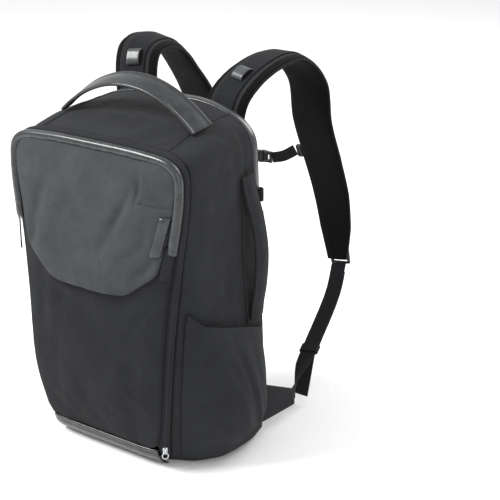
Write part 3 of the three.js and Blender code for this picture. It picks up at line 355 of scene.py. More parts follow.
for at in stations:
    outline = whole(body_half(smooth_row(BODY_SECTIONS, at)))
    outline = inset(outline, 3.0 * max(0, 1 - at / 0.012) ** 2 + 1.5 * max(0, (at - 0.985) / 0.015) ** 2)
    body_rings.append([(x, rim_y(z) + (BACK_Y - rim_y(z)) * at, z) for x, z in outline])
body_grid = np.array(body_rings)
body_normals = normals_of(body_grid, True)
if (body_normals[len(stations) // 2, :, 0] * body_grid[len(stations) // 2, :, 0]).sum() < 0:
    body_normals = -body_normals
flat = body_grid.reshape(-1, 3)
facing = np.abs(body_normals.reshape(-1, 3))
side_dent = dimple(flat[:, 1], flat[:, 2], SIDE_FOLDS) * facing[:, 0] ** 2
top_dent = dimple(flat[:, 0], flat[:, 1], TOP_FOLDS) * facing[:, 2] ** 2 * (flat[:, 2] > 200)
rumple = ripple(flat, 55, 1.5, 3) * (flat[:, 2] > 12) * np.minimum(1, flat[:, 2] / 60)
edge = np.repeat(np.sin(np.pi * np.clip(stations, 0, 1)) ** 0.5, body_grid.shape[1])
body_dent = (side_dent + top_dent + rumple * edge) * np.minimum(1, edge * 1.5)
flat = flat - body_normals.reshape(-1, 3) * body_dent[:, None]
flat[:, 2] = np.maximum(flat[:, 2], 0.2)
body_surface = flat.reshape(body_grid.shape)
lip = inset(whole(body_half(smooth_row(BODY_SECTIONS, 0))), 9)
front_lip = np.array([(x, rim_y(z) + 6, z) for x, z in lip])
back_lip = inset(whole(body_half(smooth_row(BODY_SECTIONS, 1))), 12)
rear_lip = np.array([(x, BACK_Y - 1, z) for x, z in back_lip])
body_points = np.concatenate([front_lip[None], body_surface, rear_lip[None]])
body = cloth("body", body_points, grid_faces(len(body_points), body_points.shape[1], True), canvas,
    thick=1.2, away=(0, 0, 240))
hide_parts("body_shell")


def over_top(half, lowest):
    """The outline above a height, from the lower left over the top to the lower right."""
    first = int(np.argmax(half[:, 1] > lowest))
    a, b = half[first - 1], half[first]
    start = a + (b - a) * (lowest - a[1]) / (b[1] - a[1])
    right = np.vstack([start, half[first:]])
    return np.vstack([right[:-1] * [-1, 1], right[::-1]])


def inset_half(half, distance):
    return inset(whole(half), distance)[:len(half)]


def tangents(path):
    along = np.gradient(path, axis=0)
    return along / np.linalg.norm(along, axis=1)[:, None]


def sweep(path, normals, profile, closed=True, widths=None, heights=None):
    """Points and faces of a profile of (across, up) carried along a path with a normal at each step."""
    along = tangents(path)
    across = np.cross(along, normals)
    across /= np.linalg.norm(across, axis=1)[:, None]
    up = np.cross(across, along)
    rings = []
    for i in range(len(path)):
        shape = np.array(profile(i) if callable(profile) else profile, float)
        w = 1 if widths is None else widths[i]
        h = 1 if heights is None else heights[i]
        rings.append(path[i] + shape[:, :1] * w * across[i] + shape[:, 1:] * h * up[i])
    rings = np.array(rings)
    faces = grid_faces(len(path), rings.shape[1], closed)
    if closed:
        n, m = rings.shape[1], len(path)
        faces += [tuple(range(n)), tuple((m - 1) * n + k for k in range(n))]
    return rings, faces


def oval(width, height, steps=12, power=2.0):
    """A rounded section: an ellipse at power 2, fuller above it."""
    turns = np.linspace(0, 2 * math.pi, steps, endpoint=False)
    c, s = np.cos(turns), np.sin(turns)
    return np.stack([np.sign(c) * np.abs(c) ** (2 / power) * width / 2,
        np.sign(s) * np.abs(s) ** (2 / power) * height / 2], 1)


def swept(name, path, normals, profile, material, body="pack", widths=None, heights=None):
    rings, faces = sweep(np.asarray(path, float), np.asarray(normals, float), profile, True, widths, heights)
    piece = cloth(name, rings, faces, material, body)
    return piece


def stitches(name, lines, material, spacing=3.4, length=2.3, radius=0.3, body="pack"):
    """Rows of short raised threads; each line is (path, normals)."""
    points, faces = [], []
    for path, normals in lines:
        path, normals = np.asarray(path, float), np.asarray(normals, float)
        total = np.linalg.norm(np.diff(path, axis=0), axis=1).sum()
        count = max(2, int(total / spacing))
        steps = np.r_[0, np.cumsum(np.linalg.norm(np.diff(path, axis=0), axis=1))]
        for k in range(count):
            ends = [total * (k + 0.5) / count - length / 2, total * (k + 0.5) / count + length / 2]
            a, b = (np.array([np.interp(e, steps, path[:, j]) for j in range(3)]) for e in ends)
            n = np.array([np.interp(ends[0], steps, normals[:, j]) for j in range(3)])
            n /= np.linalg.norm(n)
            side = np.cross(b - a, n)
            side /= max(1e-9, np.linalg.norm(side))
            start = len(points)
            for t, r, lift in [(0, 0.3, -0.2), (0.2, 1, 0.12), (0.8, 1, 0.12), (1, 0.3, -0.2)]:
                centre = a + (b - a) * t + n * lift
                for turn in range(5):
                    q = 2 * math.pi * turn / 5
                    points.append(centre + radius * r * (math.cos(q) * side + math.sin(q) * n))
            for ring in range(3):
                for turn in range(5):
                    o, w = start + ring * 5, (turn + 1) % 5
                    faces.append((o + turn, o + w, o + 5 + w, o + 5 + turn))
            faces += [tuple(start + k2 for k2 in range(5)), tuple(start + 15 + k2 for k2 in range(5))]
    piece = cloth(name, points, faces, material, body)
    return piece


# Front panel: padded canvas in a darker dye, sewn into the front zip. It is fullest in the middle, and
# soft upright folds run down it.
panel_canvas = woven("panel_canvas", "#060708", "#242527", 0.0011)
PANEL_BULGE = 13
panel_half = body_half(PANEL_SECTION, PANEL_FLOOR)
PANEL_FOLDS = [
    (-62, 150, 82, 90, 18, 2.4), (40, 190, 76, 70, 14, 1.8), (-20, 90, 70, 60, 16, 1.6),
    (72, 110, 84, 80, 12, 1.8),
    (-88, 210, 88, 70, 10, 2.2), (10, 230, 10, 70, 12, 2.0), (-50, 235, -14, 50, 9, 1.8),
    (84, 225, 60, 30, 8, 2.0),
    (20, 60, 12, 70, 14, 1.3), (-70, 60, -30, 40, 12, 1.4),
]


def panel_face_y(x, z):
    floor_z, crown_z = PANEL_FLOOR * HEIGHT, PANEL_SECTION[5] * HEIGHT
    half_height = (crown_z - floor_z) / 2
    share = min(1, abs(x / max(1, width_at(panel_half, z))))
    rise = min(1, abs((z - floor_z - half_height) / half_height))
    return panel_y(z) - PANEL_BULGE * (1 - share ** 3.2) * (1 - rise ** 4)


def row_sheet(half, levels, columns, face_y, roll=3.0, roll_from=0.975):
    """Rows of points across an outline, turned back at both side edges."""
    spread = np.sin(np.linspace(-math.pi / 2, math.pi / 2, columns))
    spread = 0.6 * spread + 0.4 * np.linspace(-1, 1, columns)
    rows = []
    for z in levels:
        w = width_at(half, z)
        back = roll * np.maximum(0, (np.abs(spread) - roll_from) / (1 - roll_from)) ** 2
        rows.append([(w * s, face_y(w * s, z) + b, z) for s, b in zip(spread, back)])
    return np.array(rows)


panel_levels = np.linspace(PANEL_FLOOR * HEIGHT + 0.3, PANEL_SECTION[5] * HEIGHT - 4.2, 110)
panel_grid = row_sheet(panel_half, panel_levels, 90, panel_face_y)
flat = panel_grid.reshape(-1, 3)
inner_share = 1 - np.abs(np.linspace(-1, 1, 90)) ** 8
panel_shift = dimple(flat[:, 0], flat[:, 2], PANEL_FOLDS) + ripple(flat, 48, 1.3, 9)
flat[:, 1] += panel_shift * np.tile(inner_share, 110)
front_panel = cloth("panel", flat, grid_faces(110, 90), panel_canvas, thick=1.2, away=(0, 0, 240))
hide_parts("front_panel")

# Front flap: a pocket layer of lighter canvas over the panel's upper half. It is darted beside its upper
# corners, sewn in under the trim, and folded under along its free lower edge.
flap_canvas = woven("flap_canvas", "#17181a", "#444547", 0.0011)
FLAP_FLAT, FLAP_LOW, FLAP_RISE, FLAP_OUT, FLAP_INSET = 0.44, 0.535, 0.075, 0.76, 4.5
flap_inner = PANEL_SECTION[4] - FLAP_INSET / HALF_WIDTH
flap_top = PANEL_SECTION[5] - FLAP_INSET / HEIGHT
share_at = lambda x, z: (x * HALF_WIDTH, z * HEIGHT)
flap_half = half_outline([
    (share_at(0, FLAP_LOW), 0), (share_at(FLAP_FLAT, FLAP_LOW), 10),
        (share_at(FLAP_OUT, FLAP_LOW + FLAP_RISE), 10),
    (share_at(flap_inner, 0.82), 30), (share_at(flap_inner - 0.02, flap_top - PANEL_SECTION[6]), 30),
    (share_at(flap_inner / 2, flap_top), 30), (share_at(0, flap_top), 0)])
FLAP_FOLDS = [
    # Sewn darts: the seam to the right edge, the fold that rises from its end, and the left seam
    (112, 386, -3, 24, 1.5, 2.4), (92, 388, 40, 6, 1.6, 2.2), (86, 402, 84, 15, 2.6, 5.4),
    (84, 418, 84, 20, 5.0, 1.6),
    (-116, 384, 4, 12, 1.4, 2.0), (-104, 384, -8, 10, 3.5, 1.4),
    # Slack cloth: long slanting folds and hollows towards the lower corners
    (62, 372, 62, 38, 6, 4.2), (48, 352, 66, 40, 8, 1.8), (96, 350, 80, 30, 10, 1.6),
    (78, 318, 48, 34, 9, 2.2),
    (100, 300, 56, 20, 7, 3.6), (30, 322, 24, 50, 11, 1.8), (-30, 300, -8, 60, 10, 1.6),
    (-92, 340, 72, 50, 9, 3.6),
    (-70, 380, 58, 40, 12, 2.0), (-100, 305, 60, 26, 8, 2.4), (0, 275, 0, 60, 7, 1.3),
    (-40, 345, 30, 45, 14, 1.4),
    (10, 400, 20, 60, 14, 1.4),
]
FLAP_PUFF = [(104, 402, 0, 16, 10, -2.2), (60, 300, 20, 24, 12, -1.8), (-60, 330, 10, 30, 20, -1.6),
    (20, 380, 0, 40, 22, -1.5)]
FLAP_STAND, FLAP_EDGE_STAND = 11.5, 1.4


def flap_face_y(x, z):
    middle = 0.72 * HEIGHT
    w = max(1, width_at(flap_half, min(z, flap_top * HEIGHT - 12)))
    reach = middle - FLAP_LOW * HEIGHT if z < middle else flap_top * HEIGHT - middle
    down = abs(z - middle) / reach
    share = min(1, max(abs(x) / w, min(1, down) ** 1.6 if z > middle else 0.6 * min(1, down) ** 2))
    # The free lower edge stands off the panel, the sewn edges run under the trim
    edge = FLAP_EDGE_STAND if z > middle else FLAP_EDGE_STAND + 2.2 * min(1, down * 2)
    return panel_face_y(x, z) - edge - (FLAP_STAND - edge) * (1 - share ** 3)


flap_levels = np.concatenate([[258.2, 258.6], np.linspace(259.5, flap_top * HEIGHT - 1, 100)])
flap_grid = row_sheet(flap_half, flap_levels, 120, flap_face_y, roll=2.2)
flat = flap_grid.reshape(-1, 3)
inner_share = 1 - np.abs(np.linspace(-1, 1, 120)) ** 14
shift = dimple(flat[:, 0], flat[:, 2], FLAP_FOLDS) + dimple(flat[:, 0], flat[:, 2], FLAP_PUFF)
flat[:, 1] += (shift + ripple(flat, 40, 1.2, 21)) * np.tile(inner_share, len(flap_levels))
flap = cloth("flap", flat, grid_faces(len(flap_levels), 120), flap_canvas, thick=1.0, away=(0, 0, 340))
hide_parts("front_flap")

# Front zip: a ribbed tape, woven finer than the canvas. Its raised band lies between two dark grooves,
# from the body's rim to the panel's edge, with a line of stitches along each side.
tape_cloth = woven("tape_cloth", "#0e0f10", "#262729", 0.0009, bump=0.4)
thread = woven("thread", "#252628", "#4c4d50", 0.0006)
TAPE_PROFILE = [(0, -2.6), (0.07, -3.2), (0.13, -1.5), (0.18, 1.4), (0.27, 2.9), (0.4, 3.5), (0.56, 3.5),
    (0.7, 2.8),
                (0.78, 1.3), (0.84, -1.2), (0.9, -2.8), (1, -2.6)]
TAPE_FOOT = 8
tape_outer = resample(over_top(inset_half(body_half(BODY_SECTIONS[0]), 0.6), TAPE_FOOT), 420)
tape_inner = resample(over_top(inset_half(panel_half, -0.5), PANEL_FLOOR * HEIGHT + 4), 420)
tape_from = np.array([(x, rim_y(z) - 0.4, z) for x, z in tape_outer])
tape_to = np.array([(x, panel_y(z) + 2.6, z) for x, z in tape_inner])
tape_along = tangents(tape_from)
tape_normal = np.cross(tape_along, tape_to - tape_from)
tape_normal /= np.linalg.norm(tape_normal, axis=1)[:, None]
tape_normal *= -np.sign(tape_normal[:, 1:2])
tape_grid = np.array([tape_from + (tape_to - tape_from) * share + tape_normal * lift
                      for share, lift in TAPE_PROFILE])
tape = cloth("front_tape", tape_grid, grid_faces(len(TAPE_PROFILE), 420), tape_cloth, thick=1.0,
    away=(0, 0, 240))
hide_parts("front_zipper_tape")
band_row = lambda share, lift: tape_from + (tape_to - tape_from) * share + tape_normal * lift
tape_thread = stitches("front_tape_stitches",
    [(band_row(0.66, 3.2), tape_normal), (band_row(0.3, 3.25), tape_normal)], thread)

# Coated trim: a welt of cloth with a smooth, softly shining coat, turned over the panel's upper edge. Its
# inner side crumples where it follows the corners.


def coated(name, dark, light, rough=(0.3, 0.42), bump=0.35, scale=700):
    """Smooth coated cloth: fine grain, faint creases with painted shade in their hollows, and uneven gloss.
    """
    m = material_start(name)
    place = add(m, "ShaderNodeTexCoord").outputs["Object"]
    grain = add(m, "ShaderNodeTexNoise", {"Scale": scale, "Detail": 3, "Roughness": 0.65}, Vector=place)
    creases = add(m, "ShaderNodeTexNoise", {"Scale": 45, "Detail": 5, "Roughness": 0.62, "Distortion": 1.1},
        Vector=place)
    # Painted shade: the colour follows the crease relief and is darker in its hollows
    ramp = add(m, "ShaderNodeValToRGB", i0=creases)
    ramp.color_ramp.elements[0].position, ramp.color_ramp.elements[1].position = 0.32, 0.7
    ramp.color_ramp.elements[0].color = colour(dark)
    ramp.color_ramp.elements[1].color = colour(light)
    roughness = add(m, "ShaderNodeMapRange", {"To Min": rough[0], "To Max": rough[1]}, Value=grain)
    height = add(m, "ShaderNodeMath", {"operation": "ADD"}, i0=add(
        m, "ShaderNodeMapRange", {"To Min": 0.0, "To Max": 0.1}, Value=grain), i1=add(
        m, "ShaderNodeMapRange", {"To Min": 0.0, "To Max": 0.5}, Value=creases))
    return surface(m, ramp, roughness, bump, height, **{"Specular IOR Level": 0.5, "Coat Weight": 0.12})


trim_cloth = coated("trim_cloth", "#17191b", "#323437", rough=(0.22, 0.34), bump=0.5)
TRIM_END, TRIM_WIDTH, TRIM_HEIGHT = 325, 12, 5
trim_path = resample(over_top(inset_half(panel_half, 1.5), TRIM_END), 300)
trim_along = np.gradient(trim_path, axis=0)
trim_along /= np.linalg.norm(trim_along, axis=1)[:, None]
trim_out = np.stack([-trim_along[:, 1], trim_along[:, 0]], 1)
trim_out *= np.sign((trim_out * (trim_path - [0, 250])).sum(1))[:, None]
TRIM_PROFILE = [(-1.02, -0.5), (-1.0, 0.16), (-0.9, 0.36), (-0.7, 0.62), (-0.45, 0.86), (-0.15, 1.0),
    (0.2, 1.04),
                (0.5, 0.96), (0.75, 0.72), (0.92, 0.4), (1.0, 0.05), (0.98, -0.6)]
crumple = np.array([noise.fractal(Vector((k * 0.11, 3.3, 0)), 0.8, 2, 3) for k in range(300)])
crumple_fine = np.array([noise.noise(Vector((k * 0.42, 9.1, 0))) for k in range(300)])
trim_rows = []
for k, (x, z) in enumerate(trim_path):
    row = []
    end = min(1, min(k, 299 - k) / 3)
    for side, up in TRIM_PROFILE:
        inner_edge = max(0, -side)
        a = side * TRIM_WIDTH / 2 + inner_edge * (1.3 * crumple[k] + 0.5 * crumple_fine[k])
        px, pz = x + trim_out[k, 0] * a, z + trim_out[k, 1] * a
        base = min(panel_face_y(px, pz), panel_y(pz)) if abs(px) < width_at(panel_half, pz) else panel_y(pz)
        lift = up * TRIM_HEIGHT * (0.7 + 0.3 * end) * (1 + inner_edge * 0.3 * crumple_fine[k])
        row.append((px, base - 0.6 - lift, pz))
    trim_rows.append(row)
trim = cloth("trim", trim_rows, grid_faces(300, len(TRIM_PROFILE)), trim_cloth, thick=0.8, away=(0, 0, 340))
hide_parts("front_trim")

# Base band: a roll of the same coated cloth sewn under the panel, which takes the wear at the foot. Its
# upper edge catches the light.
BAND_PROFILE = [(1.0, -0.8), (0.99, 1.2), (0.95, 2.4), (0.9, 2.6), (0.85, 1.9), (0.81, 1.2), (0.75, 1.7),
    (0.65, 2.1),
                (0.52, 1.9), (0.38, 1.0), (0.24, -1.2), (0.12, -5.0), (0.04, -9.5), (0.0, -14.0)]
BAND_TOP, BAND_HALF = 30.4, PANEL_SECTION[1] * HALF_WIDTH - 2
band_rows = []
for share in np.linspace(-1, 1, 120):
    droop = 1 - 0.25 * abs(share) ** 4
    sag = 0.5 * noise.noise(Vector((share * 5, 0, 2)))
    band_rows.append([(share * BAND_HALF, panel_y(up * BAND_TOP) - (out + sag) * droop + 3 * abs(share) ** 6,
                       0.6 + up * (BAND_TOP - 0.6)) for up, out in BAND_PROFILE])
base_band = cloth("base_roll", band_rows, grid_faces(120, len(BAND_PROFILE)), trim_cloth, thick=1.2,
    away=(0, 0, 20))
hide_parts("base_band")

# Side pockets: gathered canvas, open at a folded and stitched hem. Slanting folds run down to the lower
# back corner.
POCKET_HEM = [(0, 0.49), (0.12, 0.452), (0.3, 0.432), (0.65, 0.4), (1, 0.365)]
POCKET_SECTIONS = [
    # along, low, middle, hem
    (0, 0, 0, 0), (0.2, 0.5, 0.62, 0.22), (0.45, 0.6, 0.95, 0.42), (0.7, 0.6, 1.0, 0.55),
    (0.88, 0.6, 0.75, 0.45), (1, 0, 0, 0)]
POCKET_FOLDS = [
    # along, up, turn, half length, half width, depth: creases and the facets between them
    (0.42, 0.62, 118, 0.34, 0.05, 2.6), (0.62, 0.45, 112, 0.42, 0.045, 3.0),
    (0.80, 0.30, 118, 0.30, 0.04, 3.2),
    (0.30, 0.30, 140, 0.25, 0.06, 2.2), (0.55, 0.14, 150, 0.30, 0.05, 3.4),
    (0.85, 0.16, 25, 0.14, 0.035, 3.0),
    (0.20, 0.72, 95, 0.20, 0.05, 1.8), (0.70, 0.75, 100, 0.22, 0.05, 1.8),
    (0.50, 0.40, 112, 0.36, 0.06, -2.6),
    (0.72, 0.40, 114, 0.34, 0.05, -2.6), (0.35, 0.18, 145, 0.24, 0.06, -2.2),
    (0.90, 0.45, 105, 0.24, 0.035, 1.8),
]
POCKET_GAP, POCKET_START, POCKET_FOOT = 1.6, 6, 12
POCKET_ROWS, POCKET_COLUMNS = 84, 84
for side, sign, fullness in [("left", -1, 34), ("right", 1, 22)]:
    rows = []
    for up in np.r_[np.linspace(0, 0.93, POCKET_ROWS - 8), np.linspace(0.94, 1, 8)]:
        row = []
        for along in np.linspace(0, 1, POCKET_COLUMNS):
            z = POCKET_FOOT + (smooth_row(POCKET_HEM, along)[1] * HEIGHT - POCKET_FOOT) * up
            y = rim_y(z) + POCKET_START + (BACK_Y - 2 * POCKET_START - rim_y(z)) * along
            _, low, middle, hem = smooth_row(POCKET_SECTIONS, along)
            rise = smooth_row([(0, 0), (0.18, low), (0.5, middle), (1, hem)], up)[1]
            fold = float(dimple(along + 0.06 * (sign < 0), up, POCKET_FOLDS))
            fold *= math.sin(math.pi * along) ** 0.5
            fold *= min(1, up * 8) * min(1, (1.04 - up) * 7)
            hem_lip = 0.9 * (0.94 < up) + 0.4 * (up > 0.99)
            out = fullness * max(0, rise) - fold + hem_lip
            row.append((sign * (body_side_x(y, z) + POCKET_GAP + 2 + out), y, z))
        rows.append(row)
    grid = np.array(rows)
    pocket = cloth(f"pocket_{side}", grid, grid_faces(POCKET_ROWS, POCKET_COLUMNS), canvas, thick=1.6,
        away=(sign * 60, 10, 100))
    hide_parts(f"side_pocket_{side}")
    outward = np.tile([sign, 0, 0.0], (POCKET_COLUMNS, 1))
    hem_thread = stitches(f"pocket_hem_stitches_{side}", [(grid[-9] + outward * 0.15, outward)], thread)


def routed(points, extras, steps, width_axis):
    """Frames along a smooth centripetal curve: points, directions along, across and out, and the extras."""
    points, extras = np.array(points, float), np.array(extras, float)
    last = len(points) - 1

    def at(t):
        place = t * last
        k = min(last - 1, int(place))
        w = place - k
        p1, p2 = points[k], points[k + 1]
        p0 = points[k - 1] if k > 0 else 2 * points[0] - points[1]
        p3 = points[k + 2] if k + 2 <= last else 2 * points[last] - points[last - 1]
        d0, d1, d2 = (max(1e-4, np.linalg.norm(b - a)) ** 0.5 for a, b in ((p0, p1), (p1, p2), (p2, p3)))
        m1 = ((p1 - p0) / d0 - (p2 - p0) / (d0 + d1) + (p2 - p1) / d1) * d1
        m2 = ((p2 - p1) / d1 - (p3 - p1) / (d1 + d2) + (p3 - p2) / d2) * d1
        point = p1 + w * (m1 + w * (3 * (p2 - p1) - 2 * m1 - m2 + w * (2 * (p1 - p2) + m1 + m2)))
        return point, extras[k] + (extras[k + 1] - extras[k]) * w

    rows = [at(t) for t in np.linspace(0, 1, steps + 1)]
    path = np.array([r[0] for r in rows])
    values = np.array([r[1] for r in rows])
    along = tangents(path)
    across = np.array(width_axis, float) - along * (along @ np.array(width_axis, float))[:, None]
    across /= np.linalg.norm(across, axis=1)[:, None]
    turn = np.radians(values[:, -1])[:, None]
    across = across * np.cos(turn) + np.cross(along, across) * np.sin(turn)
    return path, along, across, np.cross(along, across), values


def ribbon(
        name, path, across, out, profile, material, body="pack", widths=None, heights=None,
            ends=True):
    """A closed profile of (across, out) carried along given frames."""
    rings = []
    for i in range(len(path)):
        shape = np.array(profile(i) if callable(profile) else profile, float)
        w = 1 if widths is None else widths[i]
        h = 1 if heights is None else heights[i]
        rings.append(path[i] + shape[:, :1] * w * across[i] + shape[:, 1:] * h * out[i])
    count = len(rings[0])
    faces = grid_faces(len(rings), count, True)
    if ends:
        faces += [tuple(range(count)), tuple((len(rings) - 1) * count + k for k in range(count))]
    piece = cloth(name, rings, faces, material, body)
    return piece


def merged(name, pieces, material, body="pack"):
    """Several closed forms of (points, faces) as one object."""
    points, faces = [], []
    for some, more in pieces:
        start = len(points)
        points += [tuple(p) for p in np.asarray(some, float).reshape(-1, 3)]
        faces += [tuple(start + k for k in face) for face in more]
    return cloth(name, points, faces, material, body)


def bar(start, end, width, height, normal, power=4.0, steps=14):
    """A short rounded bar between two points, as (points, faces)."""
    start, end, normal = (np.array(v, float) for v in (start, end, normal))
    along = (end - start) / np.linalg.norm(end - start)
    across = np.cross(along, normal)
    across /= np.linalg.norm(across)
    up = np.cross(across, along)
    edge = min(width, height) * 0.22
    length = np.linalg.norm(end - start)
    rings = []
    for place, scale in [(0, 0.72), (edge * 0.4, 0.92), (edge, 1), (length - edge, 1),
            (length - edge * 0.4, 0.92), (length, 0.72)]:
        shape = oval(width, height, steps, power) * scale
        rings.append(start + along * place + shape[:, :1] * across + shape[:, 1:] * up)
    faces = grid_faces(6, steps, True) + [tuple(range(steps)), tuple(5 * steps + k for k in range(steps))]
    return np.array(rings), faces


def loop_rope(path, radius, steps=8):
    """A closed round rope along a closed path, as (points, faces)."""
    path = np.asarray(path, float)
    along = np.roll(path, -1, 0) - np.roll(path, 1, 0)
    along /= np.linalg.norm(along, axis=1)[:, None]
    flat_normal = np.cross(path[0] - path.mean(0), path[len(path) // 4] - path.mean(0))
    flat_normal /= np.linalg.norm(flat_normal)
    side = np.cross(along, flat_normal)
    side /= np.linalg.norm(side, axis=1)[:, None]
    turns = np.linspace(0, 2 * math.pi, steps, endpoint=False)
    rings = np.array([path + radius * (math.cos(q) * side + math.sin(q) * flat_normal)
        for q in turns]).transpose(1, 0, 2)
    count = len(path)
    faces = []
    for r in range(count):
        for c in range(steps):
            d, n = (c + 1) % steps, (r + 1) % count
            faces.append((r * steps + c, r * steps + d, n * steps + d, n * steps + c))
    return rings, faces


# Seams on the body: corded welts along the top panel and the darts, the zips of the two side doors with
# their coils of moulded nylon, and threads that follow the surface.
plastic = moulded("plastic", "#1b1c1e", 0.38)
body_out = normals_of(body_surface, True)
if (body_out[len(stations) // 2, :, 0] * body_surface[len(stations) // 2, :, 0]).sum() < 0:
    body_out = -body_out


def on_body(at, index):
    """Surface point and normal at a station share and an outline index."""
    k = np.clip(np.interp(at, stations, np.arange(len(stations))), 0, len(stations) - 1.001)
    i = index % body_surface.shape[1]
    k0, i0 = int(k), int(i)
    k1, i1 = k0 + 1, (i0 + 1) % body_surface.shape[1]
    station_share, index_share = k - k0, i - i0

    def mix(grid):
        near = grid[k0, i0] * (1 - index_share) + grid[k0, i1] * index_share
        far = grid[k1, i0] * (1 - index_share) + grid[k1, i1] * index_share
        return near * (1 - station_share) + far * station_share

    n = mix(body_out)
    return mix(body_surface), n / np.linalg.norm(n)


def index_at_z(at, z, sign):
    half = body_half(smooth_row(BODY_SECTIONS, at))
    i = np.interp(z, np.maximum.accumulate(half[:, 1]) + np.arange(len(half)) * 1e-6, np.arange(len(half)))
    return i if sign > 0 else body_surface.shape[1] - i


def index_at_x(at, x):
    half = body_half(smooth_row(BODY_SECTIONS, at))
    top = int(len(half) * 0.62)
    i = np.interp(-abs(x), -half[top:, 0] + np.arange(len(half) - top) * 1e-6, np.arange(top, len(half)))
    return i if x > 0 else body_surface.shape[1] - i


def body_line(rows, lift=0.0):
    """Points and normals along (station, index) pairs."""
    pairs = [on_body(a, i) for a, i in rows]
    path, normals = np.array([p for p, _ in pairs]), np.array([n for _, n in pairs])
    return path + normals * lift, normals


at_y = lambda y, z: (y - rim_y(z)) / (BACK_Y - rim_y(z))
seam_rows = []
for sign in (-1, 1):
    seam_rows.append([(a, index_at_x(a, sign * (108 - 6 * a))) for a in np.linspace(0.015, 0.985, 70)])
side_rows = []
for sign in (-1, 1):
    side_rows.append([(at_y(y, z), index_at_z(at_y(y, z), z, sign)) for y, z in
                      zip(np.linspace(49, 53, 60), np.linspace(394, 188, 60))])
dart_rows = []
for sign in (-1, 1):
    dart_rows.append([(at_y(y, z), index_at_z(at_y(y, z), z, sign)) for y, z in
                      zip(np.linspace(49, 84, 14), np.linspace(394, 409, 14))])
WELT = [(-1.9, -0.4), (-1.7, 0.35), (-1.0, 1.15), (0, 1.5), (1.0, 1.15), (1.7, 0.35), (1.9, -0.4)]
body_threads = []
for k, rows in enumerate(seam_rows):
    path, normals = body_line(rows)
    swept(f"top_welt_{k}", path, normals, WELT, canvas)
    side = np.cross(tangents(path), normals)
    body_threads += [(path + side * d + normals * 0.15, normals) for d in (-4.2, 4.2)]
for k, rows in enumerate(dart_rows):
    path, normals = body_line(rows)
    swept(f"dart_welt_{k}", path, normals, np.array(WELT) * 0.8, canvas)
body_seams = stitches("body_stitches", body_threads, thread)
SIDE_ZIP = [(-4.6, -0.5), (-4.5, 0.9), (-3.4, 1.6), (-1.5, 1.5), (-0.9, 0.7), (0.9, 0.7), (1.5, 1.5),
    (3.4, 1.6), (4.5, 0.9), (4.6, -0.5)]
for k, rows in enumerate(side_rows):
    path, normals = body_line(rows)
    swept(f"side_zip_{k}", path, normals, SIDE_ZIP, tape_cloth)
    along, across = tangents(path), np.cross(tangents(path), normals)
    turns = 150
    fine = resample(path, turns * 6)
    fine_n, fine_s = resample(normals, turns * 6), resample(across, turns * 6)
    spiral = np.arange(turns * 6) * 2 * math.pi / 6
    sideways, outwards = fine_s * (np.cos(spiral) * 0.9)[:, None], fine_n * (np.sin(spiral) * 0.35)[:, None]
    coil_path = fine + fine_n * 0.9 + sideways + outwards
    swept(f"side_coil_{k}", coil_path[::2], fine_n[::2], oval(0.7, 0.6, 5), plastic)

# Back storm strip: a band of coated cloth over the back zip, across the top and down both sides, held by
# a line of stitches along each edge.
STORM_AT, STORM_FOOT_Z = 0.955, 330
strip_start = index_at_z(STORM_AT, STORM_FOOT_Z, 1)
strip_line = [(STORM_AT, i) for i in np.linspace(strip_start, body_surface.shape[1] - strip_start, 200)]
path, normals = body_line(strip_line)
STORM = [(-6.6, -0.4), (-6.5, 0.7), (-5.4, 1.5), (-3, 1.9), (0, 2.0), (3, 1.8), (5.2, 1.4), (6.4, 0.8),
    (6.6, -0.4)]
swept("back_storm_strip", path, normals, STORM, trim_cloth)
side = np.cross(tangents(path), normals)
storm_thread = stitches("storm_stitches",
    [(path + side * d + normals * 1.75, normals) for d in (-4.4, 4.4)], thread)

# Zip garage: a coated strip that hides the end of the flap's zip. Below the trim's right end a canvas tab
# covers the raw edge.
garage_rows = []
for up in np.linspace(0, 1, 20):
    z = 320 + 54 * up
    edge = width_at(flap_half, z) - 1.0
    for share, lift in [(0, -0.6), (0.02, 1.6), (0.1, 2.5), (0.35, 3.1), (0.65, 3.0), (0.9, 2.4),
            (0.98, 1.4), (1, -0.6)]:
        x = edge - 14 * (1 - share)
        garage_rows.append((x, flap_face_y(x, z) - 0.8 - lift * min(1, 0.55 + 4 * min(up, 1 - up)), z))
garage = cloth("garage", garage_rows, grid_faces(20, 8), trim_cloth, thick=1.0, away=(60, 0, 340))
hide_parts("zip_garage")
tab_rows = []
for up in np.linspace(0, 1, 12):
    z = 288 + 46 * up
    edge = width_at(panel_half, z)
    for share, lift in [(0, -0.5), (0.03, 1.2), (0.15, 1.8), (0.5, 2.3), (0.85, 1.8), (0.97, 1.2), (1, -0.5)]:
        x = edge - 13 + 14.5 * share
        tab_rows.append((x, panel_face_y(min(x, edge - 1), z) - 0.3 - lift, z))
trim_tab = cloth("trim_tab", tab_rows, grid_faces(12, 7), panel_canvas, thick=0.8, away=(60, 0, 340))

